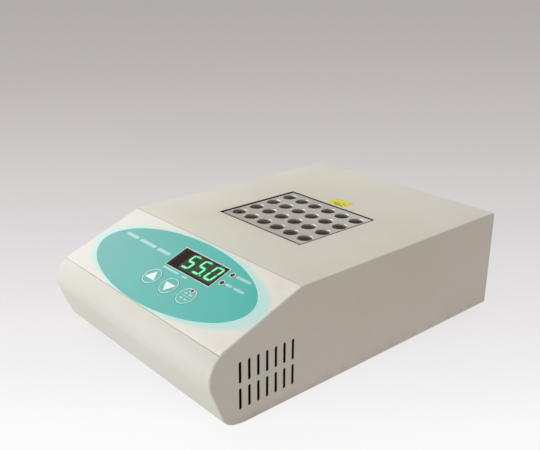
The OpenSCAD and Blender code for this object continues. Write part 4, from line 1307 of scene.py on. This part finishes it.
def soft(node, seed):
    """Felt body in place of a CAD node, kept within the node's box."""
    mesh = nodes[node].data.copy()
    obj = bpy.data.objects.new(node + "_felt", mesh)
    objects.link(obj)
    work = bmesh.new()
    work.from_mesh(mesh)
    bmesh.ops.remove_doubles(work, verts=work.verts, dist=1e-5)
    bmesh.ops.recalc_face_normals(work, faces=work.faces)
    work.to_mesh(mesh)
    work.free()
    bpy.context.view_layer.objects.active = obj
    remesh = obj.modifiers.new("remesh", "REMESH")
    remesh.mode = "VOXEL"
    remesh.voxel_size = FELT_VOXEL * MM
    mesh = evaluated_mesh(obj)
    obj.data = mesh
    work = bmesh.new()
    work.from_mesh(mesh)
    bmesh.ops.smooth_vert(work, verts=work.verts, factor=0.5,
                          use_axis_x=True, use_axis_y=True, use_axis_z=True)
    work.normal_update()
    for vert in work.verts:
        vert.co -= vert.normal * FELT_SHRINK * MM
    work.to_mesh(mesh)
    work.free()

    start = np.array([v.co for v in mesh.vertices], float)
    mesh, places = swell(obj, start)
    mesh.vertices.foreach_set("co", places.ravel())
    mesh.update()
    normals = np.array([v.normal for v in mesh.vertices], float)
    places = np.array([place + normal * felt_relief(place, normal, seed) * MM
                       for place, normal in zip(places, normals)])
    low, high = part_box(node)
    places = np.clip(places, np.array(low), np.array(high))
    mesh.vertices.foreach_set("co", places.astype(np.float32).ravel())
    mesh.update()
    obj.data = mesh
    for polygon in mesh.polygons:
        polygon.use_smooth = True
    mesh.materials.clear()
    mesh.materials.append(felt)
    subdivision = obj.modifiers.new("subdiv", "SUBSURF")
    subdivision.levels = 1
    subdivision.render_levels = 1
    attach(obj, "case")
    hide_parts(node)


felt = glass_fibre_felt()
soft("insulation_jacket", seed=3.0)
soft("insulation_pad", seed=9.0)

# ---------------------------------------------------------------- floor
# backdrop colours by height in the view: white low down, grey-lilac at the top
BACKDROP = (
    (0.0, (254, 254, 254)), (0.06, (253, 253, 253)), (0.27, (239, 237, 238)),
    (0.49, (220, 216, 217)), (0.73, (198, 193, 192)), (1.0, (182, 176, 176)))


def floor_pale():
    mat = Material("floor_pale")
    view_height = mat.xyz(mat.signal("TexCoord", output="Window"))[1]
    ramp = mat.node("ValToRGB", {0: view_height})
    stops = ramp.color_ramp.elements
    stops[0].color = linear(BACKDROP[0][1])
    stops[1].color = linear(BACKDROP[-1][1])
    for height, rgb in BACKDROP[1:-1]:
        stops.new(height).color = linear(rgb)
    grain = mat.noise(scale=0.02, rough=0.5)
    colour = mat.tint(Signal(mat, ramp.outputs["Color"]), (0.5, 0.5, 0.5, 1), grain,
                      amount=0.015)
    seen = mat.signal("Emission", {"Color": colour, "Strength": 0.90})
    dim = mat.mix(1.0, colour, (0.1, 0.1, 0.1, 1), blend="MULTIPLY")
    diffuse = mat.signal("BsdfDiffuse", {"Color": dim})
    seen_and_shaded = mat.signal("AddShader", {0: seen, 1: diffuse})
    # the light the bench throws back is even, as over a wide white sweep
    thrown = mat.signal("Emission", {"Color": (1.05, 0.99, 0.975, 1), "Strength": 0.55})
    camera_ray = mat.signal("LightPath", output="Is Camera Ray")
    return mat.done(mat.mix_shaders(camera_ray, thrown, seen_and_shaded))


def add_floor(half_size, drop):
    """Square floor just under the bench plane; sizes in metres."""
    mesh = bpy.data.meshes.new("floor")
    corners = [(-half_size, -half_size, 0), (half_size, -half_size, 0),
               (half_size, half_size, 0), (-half_size, half_size, 0)]
    mesh.from_pydata(corners, [], [(0, 1, 2, 3)])
    mesh.materials.append(floor_pale())
    floor = bpy.data.objects.new("floor", mesh)
    objects.link(floor)
    floor.location.z = -drop


add_floor(half_size=14.0, drop=0.0002)

# ---------------------------------------------------------------- light
world = bpy.data.worlds.new("studio")
world.use_nodes = True
background = world.node_tree.nodes["Background"]
background.inputs["Color"].default_value = (1.0, 0.985, 0.965, 1)
background.inputs["Strength"].default_value = 0.41
scene.world = world


def area_light(name, place, size, power, color, aim_z=0.05, size_y=None):
    """Area light aimed at a point over the origin; metres and watts."""
    light = bpy.data.lights.new(name, "AREA")
    light.energy = power
    light.size = size
    light.color = color
    if size_y:
        light.shape = "RECTANGLE"
        light.size_y = size_y
    obj = bpy.data.objects.new(name, light)
    obj.location = place
    obj.rotation_mode = "QUATERNION"
    aim = Vector((0, 0, aim_z)) - Vector(place)
    obj.rotation_quaternion = aim.to_track_quat("-Z", "Y")
    objects.link(obj)


area_light("key", place=(-0.75, -0.20, 0.62), size=0.7, power=4.4, color=(1.0, 0.99, 0.98))
area_light("back", place=(-0.3, 1.1, 1.0), size=1.0, power=4.8, color=(1.0, 1.0, 1.0))
area_light("front", place=(-0.35, -1.5, 0.24), size=1.3, power=11.4,
           color=(0.85, 0.95, 1.03), aim_z=0.04, size_y=0.4)
area_light("fill", place=(1.3, -0.7, 0.7), size=1.2, power=1.0, color=(1.0, 0.96, 0.92))

# ---------------------------------------------------------------- camera
CAMERA_PLACE = Vector((418.90, -377.83, 296.60))
CAMERA_RIGHT = Vector((0.65590, 0.75484, 0.00420))
CAMERA_UP = Vector((-0.26927, 0.22878, 0.93550))
CAMERA_FORWARD = Vector((-0.70519, 0.61472, -0.35331))

lens_data = bpy.data.cameras.new("camera")
lens_data.lens = 49.89
lens_data.sensor_width = 36.0
lens_data.sensor_fit = "HORIZONTAL"
lens_data.clip_start = 0.01
lens_data.clip_end = 100
camera = bpy.data.objects.new("camera", lens_data)
objects.link(camera)
turn = Matrix((CAMERA_RIGHT, CAMERA_UP, -CAMERA_FORWARD)).transposed()
camera.matrix_world = Matrix.Translation(CAMERA_PLACE * MM) @ turn.to_4x4()
scene.camera = camera
scene.view_settings.view_transform = "Standard"
scene.view_settings.look = "None"
